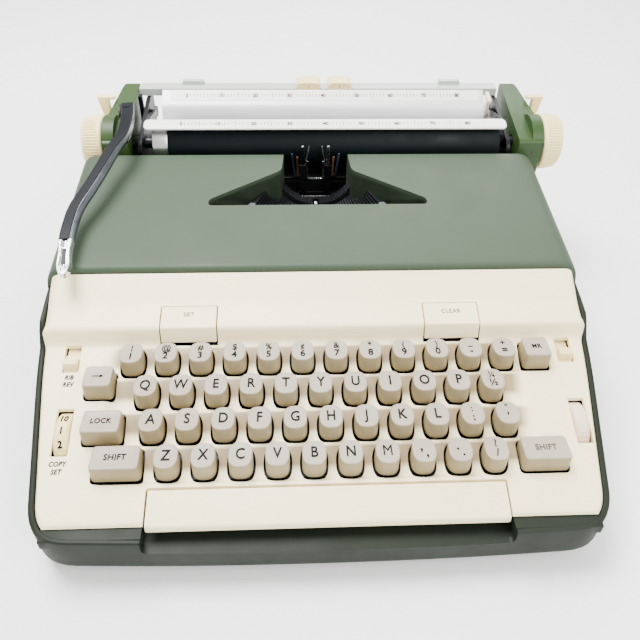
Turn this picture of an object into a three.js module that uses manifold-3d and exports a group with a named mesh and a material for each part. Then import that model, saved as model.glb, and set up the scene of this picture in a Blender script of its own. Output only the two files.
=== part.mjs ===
// Portable electric typewriter, built as separate pieces in millimetres.
// +X is to the typist's right, +Y away from the typist and +Z up.
// The origin is on the table, below the middle of the resting carriage.
import * as THREE from "three";
import { mergeVertices } from "three/addons/utils/BufferGeometryUtils.js";
import Module from "manifold-3d";

const wasm = await Module();
wasm.setup();

// ---------- driving dimensions ----------
const GAP = 0.3;                       // play between pieces that sit on each other
const BODY_X = -11;                    // the case's middle, seen from the resting carriage's middle

const KEY_PITCH = 19.05;               // from key to key and from row to row
const ROW_RISE = 5.87;                 // each row stands this much above the row in front
const FRONT_ROW_Y = -126;
const FRONT_ROW_TOP_Z = 52;
const KEYS_CENTRE_X = 0.3;
const KEY_WIDTH = 12.8;
const KEY_DEPTH = 15.6;
const KEY_CORNER_R = 6.2;
const KEY_HEIGHT = 11.5;
const KEY_SHOW = 8.35;                 // how far a key's top stands above the panel
const KEY_HOLE_PLAY = 1.2;
const KEY_DROP = 4;                    // travel of the front row at full press, with a little room
const NUMBER_KEYS = 12;
const STEM_THICKNESS = 3;
const STEM_DEPTH = 8;
const LEVER_HEIGHT = 6;
const SHAFT_R = 3;
const SHAFT_PLAY = 0.3;
const HUB_R = 7;

const SIDE_BAND = 55.225;              // from the last number key's centre to the case's side
const FRONT_TAPER = 13;                // how much narrower each side is at the front
const CASE_BOTTOM_Z = 5;
const CASE_WALL = 3;
const CASE_CORNER_R = 20;
const CASE_BOTTOM_CHAMFER = 9;
const CASE_FRONT_BOW = 3.6;
const FRONT_TOP_Z = 33;
const FRONT_LEDGE = 7.5;
const NOTCH_Z = 24.5;
const NOTCH_SHELF = 9;
const RIM_BELOW_PANEL = 1;
const PANEL_THICKNESS = 2.5;
const FRONT_MARGIN = 29;               // from the front row to the panel's front edge
const RIDGE_SETBACK = 11.35;           // from the number row to the ridge's foot
const RIDGE_HEIGHT = 10;
const RIDGE_LEAN = 2.5;                // from the ridge's foot back to its fold
const RIDGE_DEPTH = 17.5;              // from the ridge's foot back to the end of its sloping top
const RIDGE_TOP_RISE = 4;
const COVER_SETBACK = 36.5;            // from the ridge's foot to the cover's front edge
const COVER_STEP = 12.4;               // the cover's front edge above the ridge's top
const COVER_LIP = 3.5;                 // the cover's front edge above the panel behind the ridge
const COVER_THICKNESS = 2.5;
const COVER_LENGTH = 113;
const COVER_RISE = 12.6;
const COVER_CORNER_R = 12;
const REAR_RIM_DEPTH = 27.76;          // from the cover's rear edge down to the case's rear rim
const SKIRT_OVER_RIM = 2;
const PAN_OVER_RIM = 3;
const DECK_BELOW_RIM = 11;
const CASE_SHORT_OF_CARRIAGE = 2;
const FOOT_R = 9;
const FOOT_INSET = 28;
const FOOT_SIDE_INSET = 35;
const FRAME_SIDE_INSET = 29;

const SPACE_BAR_LENGTH = 184;
const SPACE_BAR_X = 2.5;
const SPACE_BAR_PLAY = 1.2;
const SPACE_BAR_GAP = 12.5;            // from the front row's middle to the bar's rear edge
const SPACE_BAR_DEPTH = 18;
const SPACE_ARM_DEPTH = 8;

const PLATEN_R = 16;
const PLATEN_SHAFT_R = 4;
const PLATEN_LEFT_X = -112;
const PLATEN_RIGHT_X = 126;
const PLATEN_COLLAR = 11;
const PLATEN_OVER_PAN = 2.26;
const KNOB_R = 20;
const KNOB_TIP_R = 18;
const KNOB_LENGTH = 15;
const KNOB_BEHIND_COVER = 4;
const END_COVER_INNER_X = 139;
const END_COVER_WIDTH = 18;
const END_COVER_TAPER = 7;
const END_COVER_SLOPE = 0.18;
const CARRIAGE_BEHIND_PLATEN = 36.5;      // from the platen's back to the carriage's rear edge
const PAN_THICKNESS = 3;
const TABLE_THICKNESS = 1.5;
const RAIL_DEPTH = 11;
const RAIL_OVER_PLATEN = 17;            // from the platen's axis up to the margin rail
const LEVER_WIDTH = 9;
const LEVER_THICKNESS = 5;
const LEVER_OVER_PLATEN = 26;
const STOP_WIDTH = 17.5;
const STOP_LEFT_X = -19.5;
const STOP_RIGHT_X = 4;

const TYPE_X = 3.5;                    // the printing point, seen from the case's middle
const SEGMENT_R = 30;                  // radius of the arc that the type bars pivot on
const SEGMENT_BEHIND = 36;             // from the pivot arc to the platen's axis
const TYPE_BAR_LENGTH = 35.5;
const TYPE_BAR_DROOP = Math.PI / 6;
const FAN_HALF_ANGLE = 1.3;
const FAN_GAP_ANGLE = 0.12;
const SPOOL_X = 95;
const SPOOL_R = 20;

// ---------- places that follow from them ----------
const slope = ROW_RISE / KEY_PITCH;
const numberLeftX = KEYS_CENTRE_X - KEY_PITCH * (NUMBER_KEYS - 1) / 2;
const bodyHalf = KEY_PITCH * (NUMBER_KEYS - 1) / 2 + SIDE_BAND;
const numberRowY = FRONT_ROW_Y + 3 * KEY_PITCH;
const panelZ = (y) => FRONT_ROW_TOP_Z - KEY_SHOW + (y - FRONT_ROW_Y) * slope;
const rowTopZ = (row) => FRONT_ROW_TOP_Z + row * ROW_RISE;
const panelFrontY = FRONT_ROW_Y - FRONT_MARGIN;
const ridgeY = numberRowY + RIDGE_SETBACK;
const ridgeZ = panelZ(ridgeY);
const ridgeFoldY = ridgeY + RIDGE_LEAN;
const ridgeFoldZ = ridgeZ + RIDGE_HEIGHT;
const ridgeTopY = ridgeY + RIDGE_DEPTH;
const ridgeTopZ = ridgeFoldZ + RIDGE_TOP_RISE;
const coverFrontY = ridgeY + COVER_SETBACK;
const coverFrontZ = ridgeTopZ + COVER_STEP;
const coverRearY = coverFrontY + COVER_LENGTH;
const coverRearZ = coverFrontZ + COVER_RISE;
const coverSlope = COVER_RISE / COVER_LENGTH;
const rearRimZ = coverRearZ - REAR_RIM_DEPTH;
const coverSkirtZ = rearRimZ + SKIRT_OVER_RIM;
const panZ = rearRimZ + PAN_OVER_RIM;
const panTopZ = panZ + PAN_THICKNESS;
const platenY = coverRearY + KNOB_BEHIND_COVER + KNOB_R;
const platenZ = panTopZ + PLATEN_OVER_PAN + PLATEN_R;
const carriageFrontY = platenY - PLATEN_R - 3;
const carriageRearY = platenY + PLATEN_R + CARRIAGE_BEHIND_PLATEN;
const caseFrontY = panelFrontY - FRONT_LEDGE;
const caseRearY = carriageRearY - CASE_SHORT_OF_CARRIAGE;
const keyBottomZ = FRONT_ROW_TOP_Z - KEY_HEIGHT;
const leverTopZ = keyBottomZ - KEY_DROP - 0.5;
const leverZ = leverTopZ - LEVER_HEIGHT;
const shaftY = coverRearY - 14;
const shaftZ = leverTopZ + 8;
const spaceArmTopZ = leverZ - KEY_DROP - 4;
const spaceArmZ = spaceArmTopZ - SPACE_ARM_DEPTH;
const endCoverOuterX = END_COVER_INNER_X + END_COVER_WIDTH;
const endCoverFrontTopZ = platenZ + 9.5;
const endCoverTopZ = (y) => endCoverFrontTopZ + (y - carriageFrontY) * END_COVER_SLOPE;
const marginRailZ = platenZ + RAIL_OVER_PLATEN;
const marginRailY = carriageRearY - RAIL_DEPTH;
const segmentY = platenY - SEGMENT_BEHIND;
const printZ = platenZ - 0.5;
const headR = SEGMENT_R + TYPE_BAR_LENGTH * Math.sin(TYPE_BAR_DROOP);
const headY = segmentY - TYPE_BAR_LENGTH * Math.cos(TYPE_BAR_DROOP);
const restR = headR + 4;
const deckZ = rearRimZ - DECK_BELOW_RIM;

// ---------- materials ----------
function material(color, roughness, metalness = 0) {
  return new THREE.MeshStandardMaterial({ color, roughness, metalness });
}
const sage = material(0x919e8f, 0.5);
const caseGreen = material(0x646b62, 0.55);
const endGreen = material(0x7d9b6e, 0.5);
const cream = material(0xe8e0cc, 0.5);
const keyGrey = material(0xd0cac2, 0.45);
const ivory = material(0xe4dabc, 0.5);
const steel = material(0xa8acb0, 0.35, 0.9);
const darkSteel = material(0x35383c, 0.5, 0.6);
const rubber = material(0x1c2428, 0.6);
const silver = material(0xd4d7da, 0.35, 0.6);

// ---------- solids ----------
function toSolid(geometry) {
  const bare = geometry.clone();
  bare.deleteAttribute("normal");
  bare.deleteAttribute("uv");
  const merged = mergeVertices(bare, 1e-4);
  const points = new Float32Array(merged.attributes.position.array);
  const source = merged.index.array;
  const corners = [];
  let volume = 0;
  const a = new THREE.Vector3();
  const b = new THREE.Vector3();
  const c = new THREE.Vector3();
  for (let i = 0; i < source.length; i += 3) {
    const [p, q, r] = [source[i], source[i + 1], source[i + 2]];
    if (p === q || q === r || r === p) continue;
    corners.push(p, q, r);
    a.fromArray(points, 3 * p);
    b.fromArray(points, 3 * q);
    c.fromArray(points, 3 * r);
    volume += a.dot(b.cross(c));
  }
  if (volume < 0) corners.reverse();
  const triVerts = new Uint32Array(corners);
  return new wasm.Manifold(new wasm.Mesh({ numProp: 3, vertProperties: points, triVerts }));
}

function join(...solids) {
  return solids.reduce((whole, next) => whole.add(next));
}

function cut(solid, ...tools) {
  return tools.reduce((whole, tool) => whole.subtract(tool), solid);
}

function common(...solids) {
  return solids.reduce((whole, next) => whole.intersect(next));
}

function addPiece(group, name, solid, look) {
  const mesh = solid.getMesh();
  const geometry = new THREE.BufferGeometry();
  geometry.setAttribute("position", new THREE.BufferAttribute(mesh.vertProperties, mesh.numProp));
  geometry.setIndex(new THREE.BufferAttribute(mesh.triVerts, 1));
  geometry.computeVertexNormals();
  const piece = new THREE.Mesh(geometry, look);
  piece.name = name;
  group.add(piece);
}

// An outline of [x, y] or [x, y, radius] corners; a radius rounds its corner.
function outline(corners) {
  const shape = new THREE.Shape();
  const count = corners.length;
  corners.forEach(([x, y, radius = 0], i) => {
    const here = new THREE.Vector2(x, y);
    if (radius === 0) {
      if (i === 0) shape.moveTo(x, y);
      else shape.lineTo(x, y);
      return;
    }
    const [bx, by] = corners[(i + count - 1) % count];
    const [ax, ay] = corners[(i + 1) % count];
    const before = new THREE.Vector2(bx, by).sub(here).setLength(radius).add(here);
    const after = new THREE.Vector2(ax, ay).sub(here).setLength(radius).add(here);
    if (i === 0) shape.moveTo(before.x, before.y);
    else shape.lineTo(before.x, before.y);
    shape.quadraticCurveTo(x, y, after.x, after.y);
  });
  return shape;
}

function extrusion(corners, depth) {
  const shape = corners instanceof THREE.Shape ? corners : outline(corners);
  return new THREE.ExtrudeGeometry(shape, { depth, bevelEnabled: false, curveSegments: 3 });
}

// Outline in X and Y, standing from z0 to z1.
function plan(corners, z0, z1) {
  return toSolid(extrusion(corners, z1 - z0).translate(0, 0, z0));
}

// Outline in Y and Z, running from x0 to x1.
function side(corners, x0, x1) {
  const turn = new THREE.Matrix4().makeBasis(
    new THREE.Vector3(0, 1, 0), new THREE.Vector3(0, 0, 1), new THREE.Vector3(1, 0, 0));
  return toSolid(extrusion(corners, x1 - x0).applyMatrix4(turn).translate(x0, 0, 0));
}

// Outline in X and Z, running from y0 to y1.
function front(corners, y0, y1) {
  return toSolid(extrusion(corners, y1 - y0).rotateX(Math.PI / 2).translate(0, y1, 0));
}

function box(x0, x1, y0, y1, z0, z1) {
  const geometry = new THREE.BoxGeometry(x1 - x0, y1 - y0, z1 - z0);
  return toSolid(geometry.translate((x0 + x1) / 2, (y0 + y1) / 2, (z0 + z1) / 2));
}

function rodX(y, z, radius, x0, x1, endRadius = radius, segments = 20) {
  const geometry = new THREE.CylinderGeometry(endRadius, radius, x1 - x0, segments);
  return toSolid(geometry.rotateZ(-Math.PI / 2).translate((x0 + x1) / 2, y, z));
}

function rodY(x, z, radius, y0, y1, segments = 20) {
  const geometry = new THREE.CylinderGeometry(radius, radius, y1 - y0, segments);
  return toSolid(geometry.translate(x, (y0 + y1) / 2, z));
}

function rodZ(x, y, radius, z0, z1, segments = 20) {
  const geometry = new THREE.CylinderGeometry(radius, radius, z1 - z0, segments);
  return toSolid(geometry.rotateX(Math.PI / 2).translate(x, y, (z0 + z1) / 2));
}

// A straight flat bar in a plane of constant X, from one [y, z] to another.
function barX(from, to, width, x0, x1) {
  const along = new THREE.Vector2(to[0] - from[0], to[1] - from[1]).setLength(width / 2);
  const [ny, nz] = [-along.y, along.x];
  const corners = [[from[0] + ny, from[1] + nz], [from[0] - ny, from[1] - nz],
    [to[0] - ny, to[1] - nz], [to[0] + ny, to[1] + nz]];
  return side(corners, x0, x1);
}

// A ring sector about the printing axis, which runs along Y; corners are [radius, y].
function ringSector(corners, halfAngle) {
  const profile = corners.map(([radius, y]) => new THREE.Vector2(radius, y));
  profile.push(profile[0].clone());
  const ring = toSolid(new THREE.LatheGeometry(profile, 48).translate(TYPE_X, 0, printZ));
  const reach = 3 * restR;
  const [sx, sz] = [reach * Math.sin(halfAngle), -reach * Math.cos(halfAngle)];
  const upper = [[0, 0], [sx, sz], [reach, reach], [-reach, reach], [-sx, sz]];
  const y0 = Math.min(...corners.map((corner) => corner[1])) - 1;
  const y1 = Math.max(...corners.map((corner) => corner[1])) + 1;
  const blockUpper = upper.map(([x, z]) => [x + TYPE_X, z + printZ]);
  return cut(ring, front(blockUpper, y0, y1));
}

// ---------- keyboard layout ----------
const rowShift = [1.25, 0.75, 0.5, 0];   // each row's first key, in pitches from the 1 key
function keyPlace(row, index) {
  const x = numberLeftX + (rowShift[row] + index) * KEY_PITCH;
  return { x, y: FRONT_ROW_Y + row * KEY_PITCH, top: rowTopZ(row) };
}
const numberRow = 3;
const columnCount = 11;
const columnNames = ["1qaz", "2wsx", "3edc", "4rfv", "5tgb", "6yhn", "7ujm", "8ik", "9ol", "0p",
  "signs"];
function columnKeys(column) {
  if (column < columnCount - 1) {
    return [0, 1, 2, 3].map((row) => keyPlace(row, column));
  }
  return [keyPlace(1, column), keyPlace(2, column), keyPlace(3, column), keyPlace(3, column + 1)];
}
const columnX = (column) => numberLeftX + (column + 0.5) * KEY_PITCH;

// Wide keys: x0, x1, middle in Y, top, depth in Y and the lever that carries them.
const WIDE_DEPTH = 15;
const wideKeys = {
  tab_key: { left: -24, right: -9, row: 2.31, lever: -19.5 },
  lock_key: { left: -21.5, right: -1.5, row: 1, lever: -13.5 },
  shift_key_left: { left: -14.1, right: 10.5, row: 0, lever: -7.5 },
};
const rightKeys = {
  shift_key_right: { left: -0.3, right: 24.2, row: 0, lever: 7.2 },
  margin_release_key: { left: 11.7, right: 26.2, row: 3, lever: 19.2 },
};
function wideKey(name) {
  const fromLeft = name in wideKeys;
  const spec = fromLeft ? wideKeys[name] : rightKeys[name];
  const base = fromLeft ? numberLeftX : numberLeftX + (NUMBER_KEYS - 1) * KEY_PITCH;
  const y = FRONT_ROW_Y + spec.row * KEY_PITCH;
  const top = rowTopZ(spec.row);
  return { x0: base + spec.left, x1: base + spec.right, y, top, lever: base + spec.lever };
}

// ---------- levers ----------
const HUB_SEGMENTS = 12;
function shaftHole(x0, x1) {
  const radius = SHAFT_R + SHAFT_PLAY;
  return rodX(shaftY, shaftZ, radius, x0, x1, radius, HUB_SEGMENTS);
}
const leverHub = (x0, x1) => rodX(shaftY, shaftZ, HUB_R, x0, x1, HUB_R, HUB_SEGMENTS);

function keyLever(x, frontY) {
  const x0 = x - STEM_THICKNESS / 2;
  const x1 = x + STEM_THICKNESS / 2;
  const spine = box(x0, x1, frontY, shaftY + HUB_R - 1, leverZ, leverTopZ);
  const riser = box(x0, x1, shaftY - HUB_R + 1, shaftY + HUB_R - 1, leverTopZ - 1, shaftZ);
  const hub = leverHub(x0, x1);
  return cut(join(spine, riser, hub), shaftHole(x0 - 1, x1 + 1));
}

function keyStem(x, y, bottomZ, topZ) {
  const half = STEM_THICKNESS / 2;
  return box(x - half, x + half, y - STEM_DEPTH / 2, y + STEM_DEPTH / 2, bottomZ, topZ);
}

// A letter key is a rounded block, a little deeper than wide; its hole is the same block grown.
function keyBlock(key, grow, z0, z1) {
  const [dx, dy] = [KEY_WIDTH / 2 + grow, KEY_DEPTH / 2 + grow];
  const radius = KEY_CORNER_R + grow;
  return plan([[key.x - dx, key.y - dy, radius], [key.x + dx, key.y - dy, radius],
    [key.x + dx, key.y + dy, radius], [key.x - dx, key.y + dy, radius]], z0, z1);
}

function keyColumn(column) {
  const x = columnX(column);
  const keys = columnKeys(column);
  const frontY = Math.min(...keys.map((key) => key.y)) - STEM_DEPTH / 2;
  const solids = [keyLever(x, frontY)];
  for (const key of keys) {
    const bottom = key.top - KEY_HEIGHT;
    const reach = Math.abs(key.x - x);
    const onSpine = reach < KEY_WIDTH / 2 - STEM_THICKNESS;
    const stemX = onSpine ? x : key.x;
    solids.push(keyBlock(key, 0, bottom, key.top));
    solids.push(keyStem(stemX, key.y, leverZ, bottom + 1));
    if (!onSpine) {
      const [x0, x1] = [Math.min(x, key.x), Math.max(x, key.x) + STEM_THICKNESS / 2];
      solids.push(box(x0, x1, key.y - STEM_DEPTH / 2, key.y + STEM_DEPTH / 2, leverZ, leverTopZ));
    }
  }
  return join(...solids);
}

function wideKeySolid(name) {
  const key = wideKey(name);
  const shallow = name.startsWith("shift");
  const bottom = shallow ? leverTopZ + KEY_DROP + 1 : key.top - KEY_HEIGHT;
  const cap = box(key.x0, key.x1, key.y - WIDE_DEPTH / 2, key.y + WIDE_DEPTH / 2, bottom, key.top);
  const stem = keyStem(key.lever, key.y, leverZ, bottom + 1);
  return join(keyLever(key.lever, key.y - STEM_DEPTH / 2), stem, cap);
}

// ---------- case ----------
const SIDE_BEND = 30;
function casePlan(inset) {
  const half = bodyHalf - inset;
  const [y0, y1] = [caseFrontY + inset, caseRearY - inset];
  const radius = CASE_CORNER_R - inset;
  const frontHalf = half - FRONT_TAPER;
  const quarterY = y0 - CASE_FRONT_BOW * 0.8;
  return [[-frontHalf, y0, radius], [-frontHalf / 2, quarterY], [0, y0 - CASE_FRONT_BOW],
    [frontHalf / 2, quarterY], [frontHalf, y0, radius], [half, ridgeY, SIDE_BEND],
    [half, y1, radius], [-half, y1, radius], [-half, ridgeY, SIDE_BEND]];
}

function caseBlock(inset, bottomZ, topCorners) {
  const half = bodyHalf - inset;
  const [y0, y1] = [caseFrontY + inset, caseRearY - inset];
  const chamfer = CASE_BOTTOM_CHAMFER;
  const floor = plan(casePlan(inset), bottomZ, coverRearZ + 10);
  const y0Bow = y0 - CASE_FRONT_BOW;
  const sideView = side([[y0Bow, bottomZ + chamfer], [y0Bow + chamfer, bottomZ],
    [y1 - chamfer, bottomZ], [y1, bottomZ + chamfer], [y1, topCorners.at(-1)[1]],
    ...topCorners.slice().reverse(), [y0Bow, topCorners[0][1]]], -half - 1, half + 1);
  const frontView = front([[-half, bottomZ + chamfer], [-half + chamfer, bottomZ],
    [half - chamfer, bottomZ], [half, bottomZ + chamfer], [half, coverRearZ + 20],
    [-half, coverRearZ + 20]], y0Bow - 1, y1 + 1);
  return common(floor, sideView, frontView);
}

const spaceBarX0 = SPACE_BAR_X - SPACE_BAR_LENGTH / 2;
const spaceBarX1 = SPACE_BAR_X + SPACE_BAR_LENGTH / 2;
const spaceBarRearY = FRONT_ROW_Y - SPACE_BAR_GAP;
const inletX = -40;
const INLET = { width: 26, height: 18, z: 16, depth: 14 };

function baseCase() {
  const rimZ = (y) => panelZ(y) - RIM_BELOW_PANEL;
  const topLine = [[panelFrontY, FRONT_TOP_Z], [panelFrontY + 4, rimZ(panelFrontY + 4)],
    [ridgeY, rimZ(ridgeY)], [ridgeTopY - 5, ridgeTopZ - 3], [coverFrontY, coverSkirtZ],
    [coverRearY, coverSkirtZ], [coverRearY + 4, rearRimZ]];
  const outer = caseBlock(0, CASE_BOTTOM_Z, topLine);
  const openTop = [[panelFrontY, coverRearZ]];
  const ledge = box(-bodyHalf, bodyHalf, caseFrontY - 10, panelFrontY,
    FRONT_TOP_Z - CASE_WALL, coverRearZ + 30);
  const inner = cut(caseBlock(CASE_WALL, CASE_BOTTOM_Z + CASE_WALL, openTop), ledge);
  const [notchX0, notchX1] = [spaceBarX0 - SPACE_BAR_PLAY, spaceBarX1 + SPACE_BAR_PLAY];
  const notch = box(notchX0, notchX1, caseFrontY - 10, panelFrontY + 5, NOTCH_Z, FRONT_TOP_Z + 5);
  const shelf = box(notchX0, notchX1, caseFrontY, caseFrontY + NOTCH_SHELF, NOTCH_Z - CASE_WALL,
    NOTCH_Z);
  const inletHole = box(inletX - INLET.width / 2 - GAP, inletX + INLET.width / 2 + GAP,
    caseRearY - 5, caseRearY + 1, INLET.z - GAP, INLET.z + INLET.height + GAP);
  return join(cut(outer, inner, notch, inletHole), shelf);
}

const MARGIN_KEY_WIDTH = 31.5;
const SET_KEY_X = -74;
const CLEAR_KEY_X = 77.5;
const RIDGE_KEY_PLAY = 0.6;
const SLOT_WIDTH = 9;
const SWITCH_TRAVEL = 4;
const WHEEL_SLOT_WIDTH = 9;
const letterRowY = FRONT_ROW_Y + KEY_PITCH;
const powerSlot = { x: bodyHalf - 17.5, y: ridgeY - 8, length: 15 };
const ribbonSlot = { x: 21 - bodyHalf, y: ridgeY - 8.5, length: 16 };
const copySlot = { x: 22.5 - bodyHalf, y: letterRowY - 0.5, length: 25.5 };
const touchSlot = { x: bodyHalf - 17.7, y: letterRowY, length: 25.2 };
const panelDown = new THREE.Vector2(0.8 * PANEL_THICKNESS, -PANEL_THICKNESS);

function slotCut(slot, width) {
  return box(slot.x - width / 2, slot.x + width / 2, slot.y - slot.length / 2,
    slot.y + slot.length / 2, FRONT_TOP_Z, ridgeTopZ);
}

function keyboardPanel() {
  const foldY = panelFrontY + 1.5;
  const top = [[panelFrontY, FRONT_TOP_Z + GAP], [foldY, panelZ(foldY)], [ridgeY, ridgeZ],
    [ridgeFoldY, ridgeFoldZ], [ridgeTopY, ridgeTopZ],
    [coverFrontY - GAP, coverFrontZ - COVER_LIP]];
  const under = top.map(([y, z]) => [y + panelDown.x, z + panelDown.y]).reverse();
  under[0][0] = coverFrontY - GAP;
  under.splice(-1, 1, [panelFrontY + PANEL_THICKNESS, FRONT_TOP_Z + GAP]);
  const outerX = bodyHalf - CASE_WALL - GAP;
  const sheet = side([...top, ...under], -outerX, outerX);
  const plate = [...top, [coverFrontY - GAP, ridgeZ], [ridgeY, ridgeZ - 15],
    [panelFrontY + 5, FRONT_TOP_Z + GAP]];
  const leftPlate = side(plate, -outerX, -outerX + PANEL_THICKNESS);
  const rightPlate = side(plate, outerX - PANEL_THICKNESS, outerX);
  const holes = [];
  for (let column = 0; column < columnCount; column += 1) {
    for (const key of columnKeys(column)) {
      holes.push(keyBlock(key, KEY_HOLE_PLAY, FRONT_TOP_Z, key.top + 5));
    }
  }
  for (const name of [...Object.keys(wideKeys), ...Object.keys(rightKeys)]) {
    const key = wideKey(name);
    holes.push(box(key.x0 - KEY_HOLE_PLAY, key.x1 + KEY_HOLE_PLAY,
      key.y - WIDE_DEPTH / 2 - KEY_HOLE_PLAY, key.y + WIDE_DEPTH / 2 + KEY_HOLE_PLAY,
      FRONT_TOP_Z, key.top + 5));
  }
  for (const x of [SET_KEY_X, CLEAR_KEY_X]) {
    const half = MARGIN_KEY_WIDTH / 2 + RIDGE_KEY_PLAY;
    holes.push(box(x - half, x + half, ridgeY - 2, ridgeTopY - 0.5, ridgeZ - 8, ridgeTopZ + 5));
  }
  holes.push(slotCut(powerSlot, SLOT_WIDTH), slotCut(ribbonSlot, SLOT_WIDTH));
  holes.push(slotCut(copySlot, WHEEL_SLOT_WIDTH), slotCut(touchSlot, WHEEL_SLOT_WIDTH));
  holes.push(box(spaceBarX0 - SPACE_BAR_PLAY, spaceBarX1 + SPACE_BAR_PLAY, panelFrontY - 5,
    spaceBarRearY + SPACE_BAR_PLAY, FRONT_TOP_Z - 10, FRONT_TOP_Z + 20));
  const footprint = plan(casePlan(CASE_WALL + GAP), 0, coverRearZ);
  return cut(common(join(sheet, leftPlate, rightPlate), footprint), ...holes);
}

function sheared(solidCorners, y0, y1) {
  const geometry = extrusion(solidCorners, y1 - y0).rotateX(Math.PI / 2).translate(0, y1, 0);
  const tilt = new THREE.Matrix4().makeShear(0, 0, 0, coverSlope, 0, 0);
  return toSolid(geometry.applyMatrix4(tilt).translate(0, 0, coverFrontZ - coverSlope * coverFrontY));
}

// The mouth over the type bars; its edges are measured forward from the cover's rear edge.
const MOUTH = { front: 56, tipX: 71.5, tipDepth: 6, neckX: 22, shoulderX: 24, shoulder: 19 };

function ribbonCover() {
  const t = COVER_THICKNESS;
  const depth = coverRearZ;
  const shell = (inset, y0, y1) => sheared([[-bodyHalf + inset, -depth],
    [-bodyHalf + inset, -inset, COVER_CORNER_R - inset],
    [bodyHalf - inset, -inset, COVER_CORNER_R - inset], [bodyHalf - inset, -depth]], y0, y1);
  const outer = shell(0, coverFrontY, coverRearY);
  const inner = shell(t, coverFrontY + t, coverRearY - t);
  const above = box(-bodyHalf - 1, bodyHalf + 1, coverFrontY - 1, coverRearY + 1,
    coverSkirtZ + GAP, coverRearZ + 5);
  const tipY = coverRearY - MOUTH.front;
  const shoulderY = coverRearY - MOUTH.shoulder;
  const mouth = plan([[-MOUTH.tipX, tipY, 3], [MOUTH.tipX, tipY, 3],
    [MOUTH.tipX, tipY + MOUTH.tipDepth, 3], [MOUTH.shoulderX, shoulderY, 4],
    [MOUTH.neckX, coverRearY + 5], [-MOUTH.neckX, coverRearY + 5],
    [-MOUTH.shoulderX, shoulderY, 4], [-MOUTH.tipX, tipY + MOUTH.tipDepth, 3]],
  0, coverRearZ + 20);
  return cut(common(outer, above), inner, mouth.translate([TYPE_X, 0, 0]));
}

// ---------- inside the case ----------
const frameHalf = bodyHalf - FRAME_SIDE_INSET;
const SHEET_STEEL = 3;
const shelfY0 = coverRearY - 56;
const shelfY1 = shelfY0 + 38;
const spoolY = (shelfY0 + shelfY1) / 2;
const spoolZ = rearRimZ + 4;
const POST_R = 2.5;
const guideY = carriageFrontY - 2.7;

function chassis() {
  const floorZ = CASE_BOTTOM_Z + CASE_WALL + GAP;
  const deckTop = deckZ + SHEET_STEEL;
  const rearY = caseRearY - CASE_WALL - 3;
  const sidePlate = [[shelfY0, floorZ], [rearY - CASE_BOTTOM_CHAMFER, floorZ],
    [rearY, floorZ + CASE_BOTTOM_CHAMFER], [rearY, deckTop], [shelfY1, deckTop],
    [shelfY1, rearRimZ], [shelfY0, rearRimZ]];
  const solids = [
    side(sidePlate, -frameHalf, -frameHalf + SHEET_STEEL),
    side(sidePlate, frameHalf - SHEET_STEEL, frameHalf),
    box(-frameHalf, frameHalf, guideY - 0.5, rearY, deckZ, deckTop),
    box(-frameHalf, frameHalf, rearY - SHEET_STEEL, rearY, deckZ - 20, deckTop),
  ];
  for (const sign of [-1, 1]) {
    const [inner, outer] = [sign * (SPOOL_X - SPOOL_R), sign * frameHalf];
    solids.push(box(Math.min(inner, outer), Math.max(inner, outer), shelfY0, shelfY1,
      rearRimZ - SHEET_STEEL, rearRimZ));
    solids.push(rodZ(sign * SPOOL_X, spoolY, POST_R, rearRimZ - 1, spoolZ + 14, 12));
  }
  return join(...solids);
}

// The rail that the carriage runs on; it also passes under the platen's knobs.
function carriageRail() {
  const half = bodyHalf - CASE_WALL - 0.5;
  const topZ = Math.min(rearRimZ + 1.5, platenZ - KNOB_R - 1);
  return box(-half, half, platenY + 2, platenY + 14, deckZ + SHEET_STEEL + GAP, topZ);
}

function ribbonSpool(sign) {
  const x = sign * SPOOL_X;
  const height = 13;
  const flange = 1.5;
  const reel = join(rodZ(x, spoolY, SPOOL_R - 0.5, spoolZ, spoolZ + flange, 24),
    rodZ(x, spoolY, SPOOL_R - 4, spoolZ, spoolZ + height, 24),
    rodZ(x, spoolY, SPOOL_R - 0.5, spoolZ + height - flange, spoolZ + height, 24));
  return cut(reel, rodZ(x, spoolY, POST_R + SHAFT_PLAY, spoolZ - 1, spoolZ + height + 1, 12));
}

const SEGMENT_DEPTH = 8;
const BAR_THICKNESS = 2;
const HEAD_THICKNESS = 4.4;
const SLOT_PLAY = 0.6;

function typeSegment() {
  const [y0, y1] = [segmentY - SEGMENT_DEPTH / 2, segmentY + SEGMENT_DEPTH / 2];
  const ring = ringSector([[SEGMENT_R - 4, y0], [SEGMENT_R + 9, y0], [SEGMENT_R + 9, y1],
    [SEGMENT_R - 4, y1]], FAN_HALF_ANGLE + 0.1);
  const slotHalf = BAR_THICKNESS / 2 + SLOT_PLAY;
  const slot = box(TYPE_X - slotHalf, TYPE_X + slotHalf, y0 - 1, y1 + 1,
    printZ - SEGMENT_R - 6, printZ);
  return cut(ring, slot);
}

function typeBars() {
  const frontOfSegment = segmentY - SEGMENT_DEPTH / 2 - GAP;
  const drop = Math.tan(TYPE_BAR_DROOP);
  const startR = SEGMENT_R + (segmentY - frontOfSegment) * drop;
  const fan = ringSector([[startR - 1.5, frontOfSegment], [startR + 1.5, frontOfSegment],
    [headR + 2, headY - 2], [headR - 3, headY - 2]], FAN_HALF_ANGLE);
  const gapHalf = headR * FAN_GAP_ANGLE;
  const middle = box(TYPE_X - gapHalf, TYPE_X + gapHalf, headY - 5, segmentY,
    printZ - headR - 3.5, printZ);
  const cushion = ringSector([[headR + 1, headY - 3], [restR + 2, headY - 3],
    [restR + 2, headY + 3], [headR + 1, headY + 3]], FAN_HALF_ANGLE);
  const clear = box(TYPE_X - gapHalf, TYPE_X + gapHalf, headY - 5, headY + 5,
    printZ - restR + 0.5, printZ);
  return join(cut(fan, middle), cut(cushion, clear));
}

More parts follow.
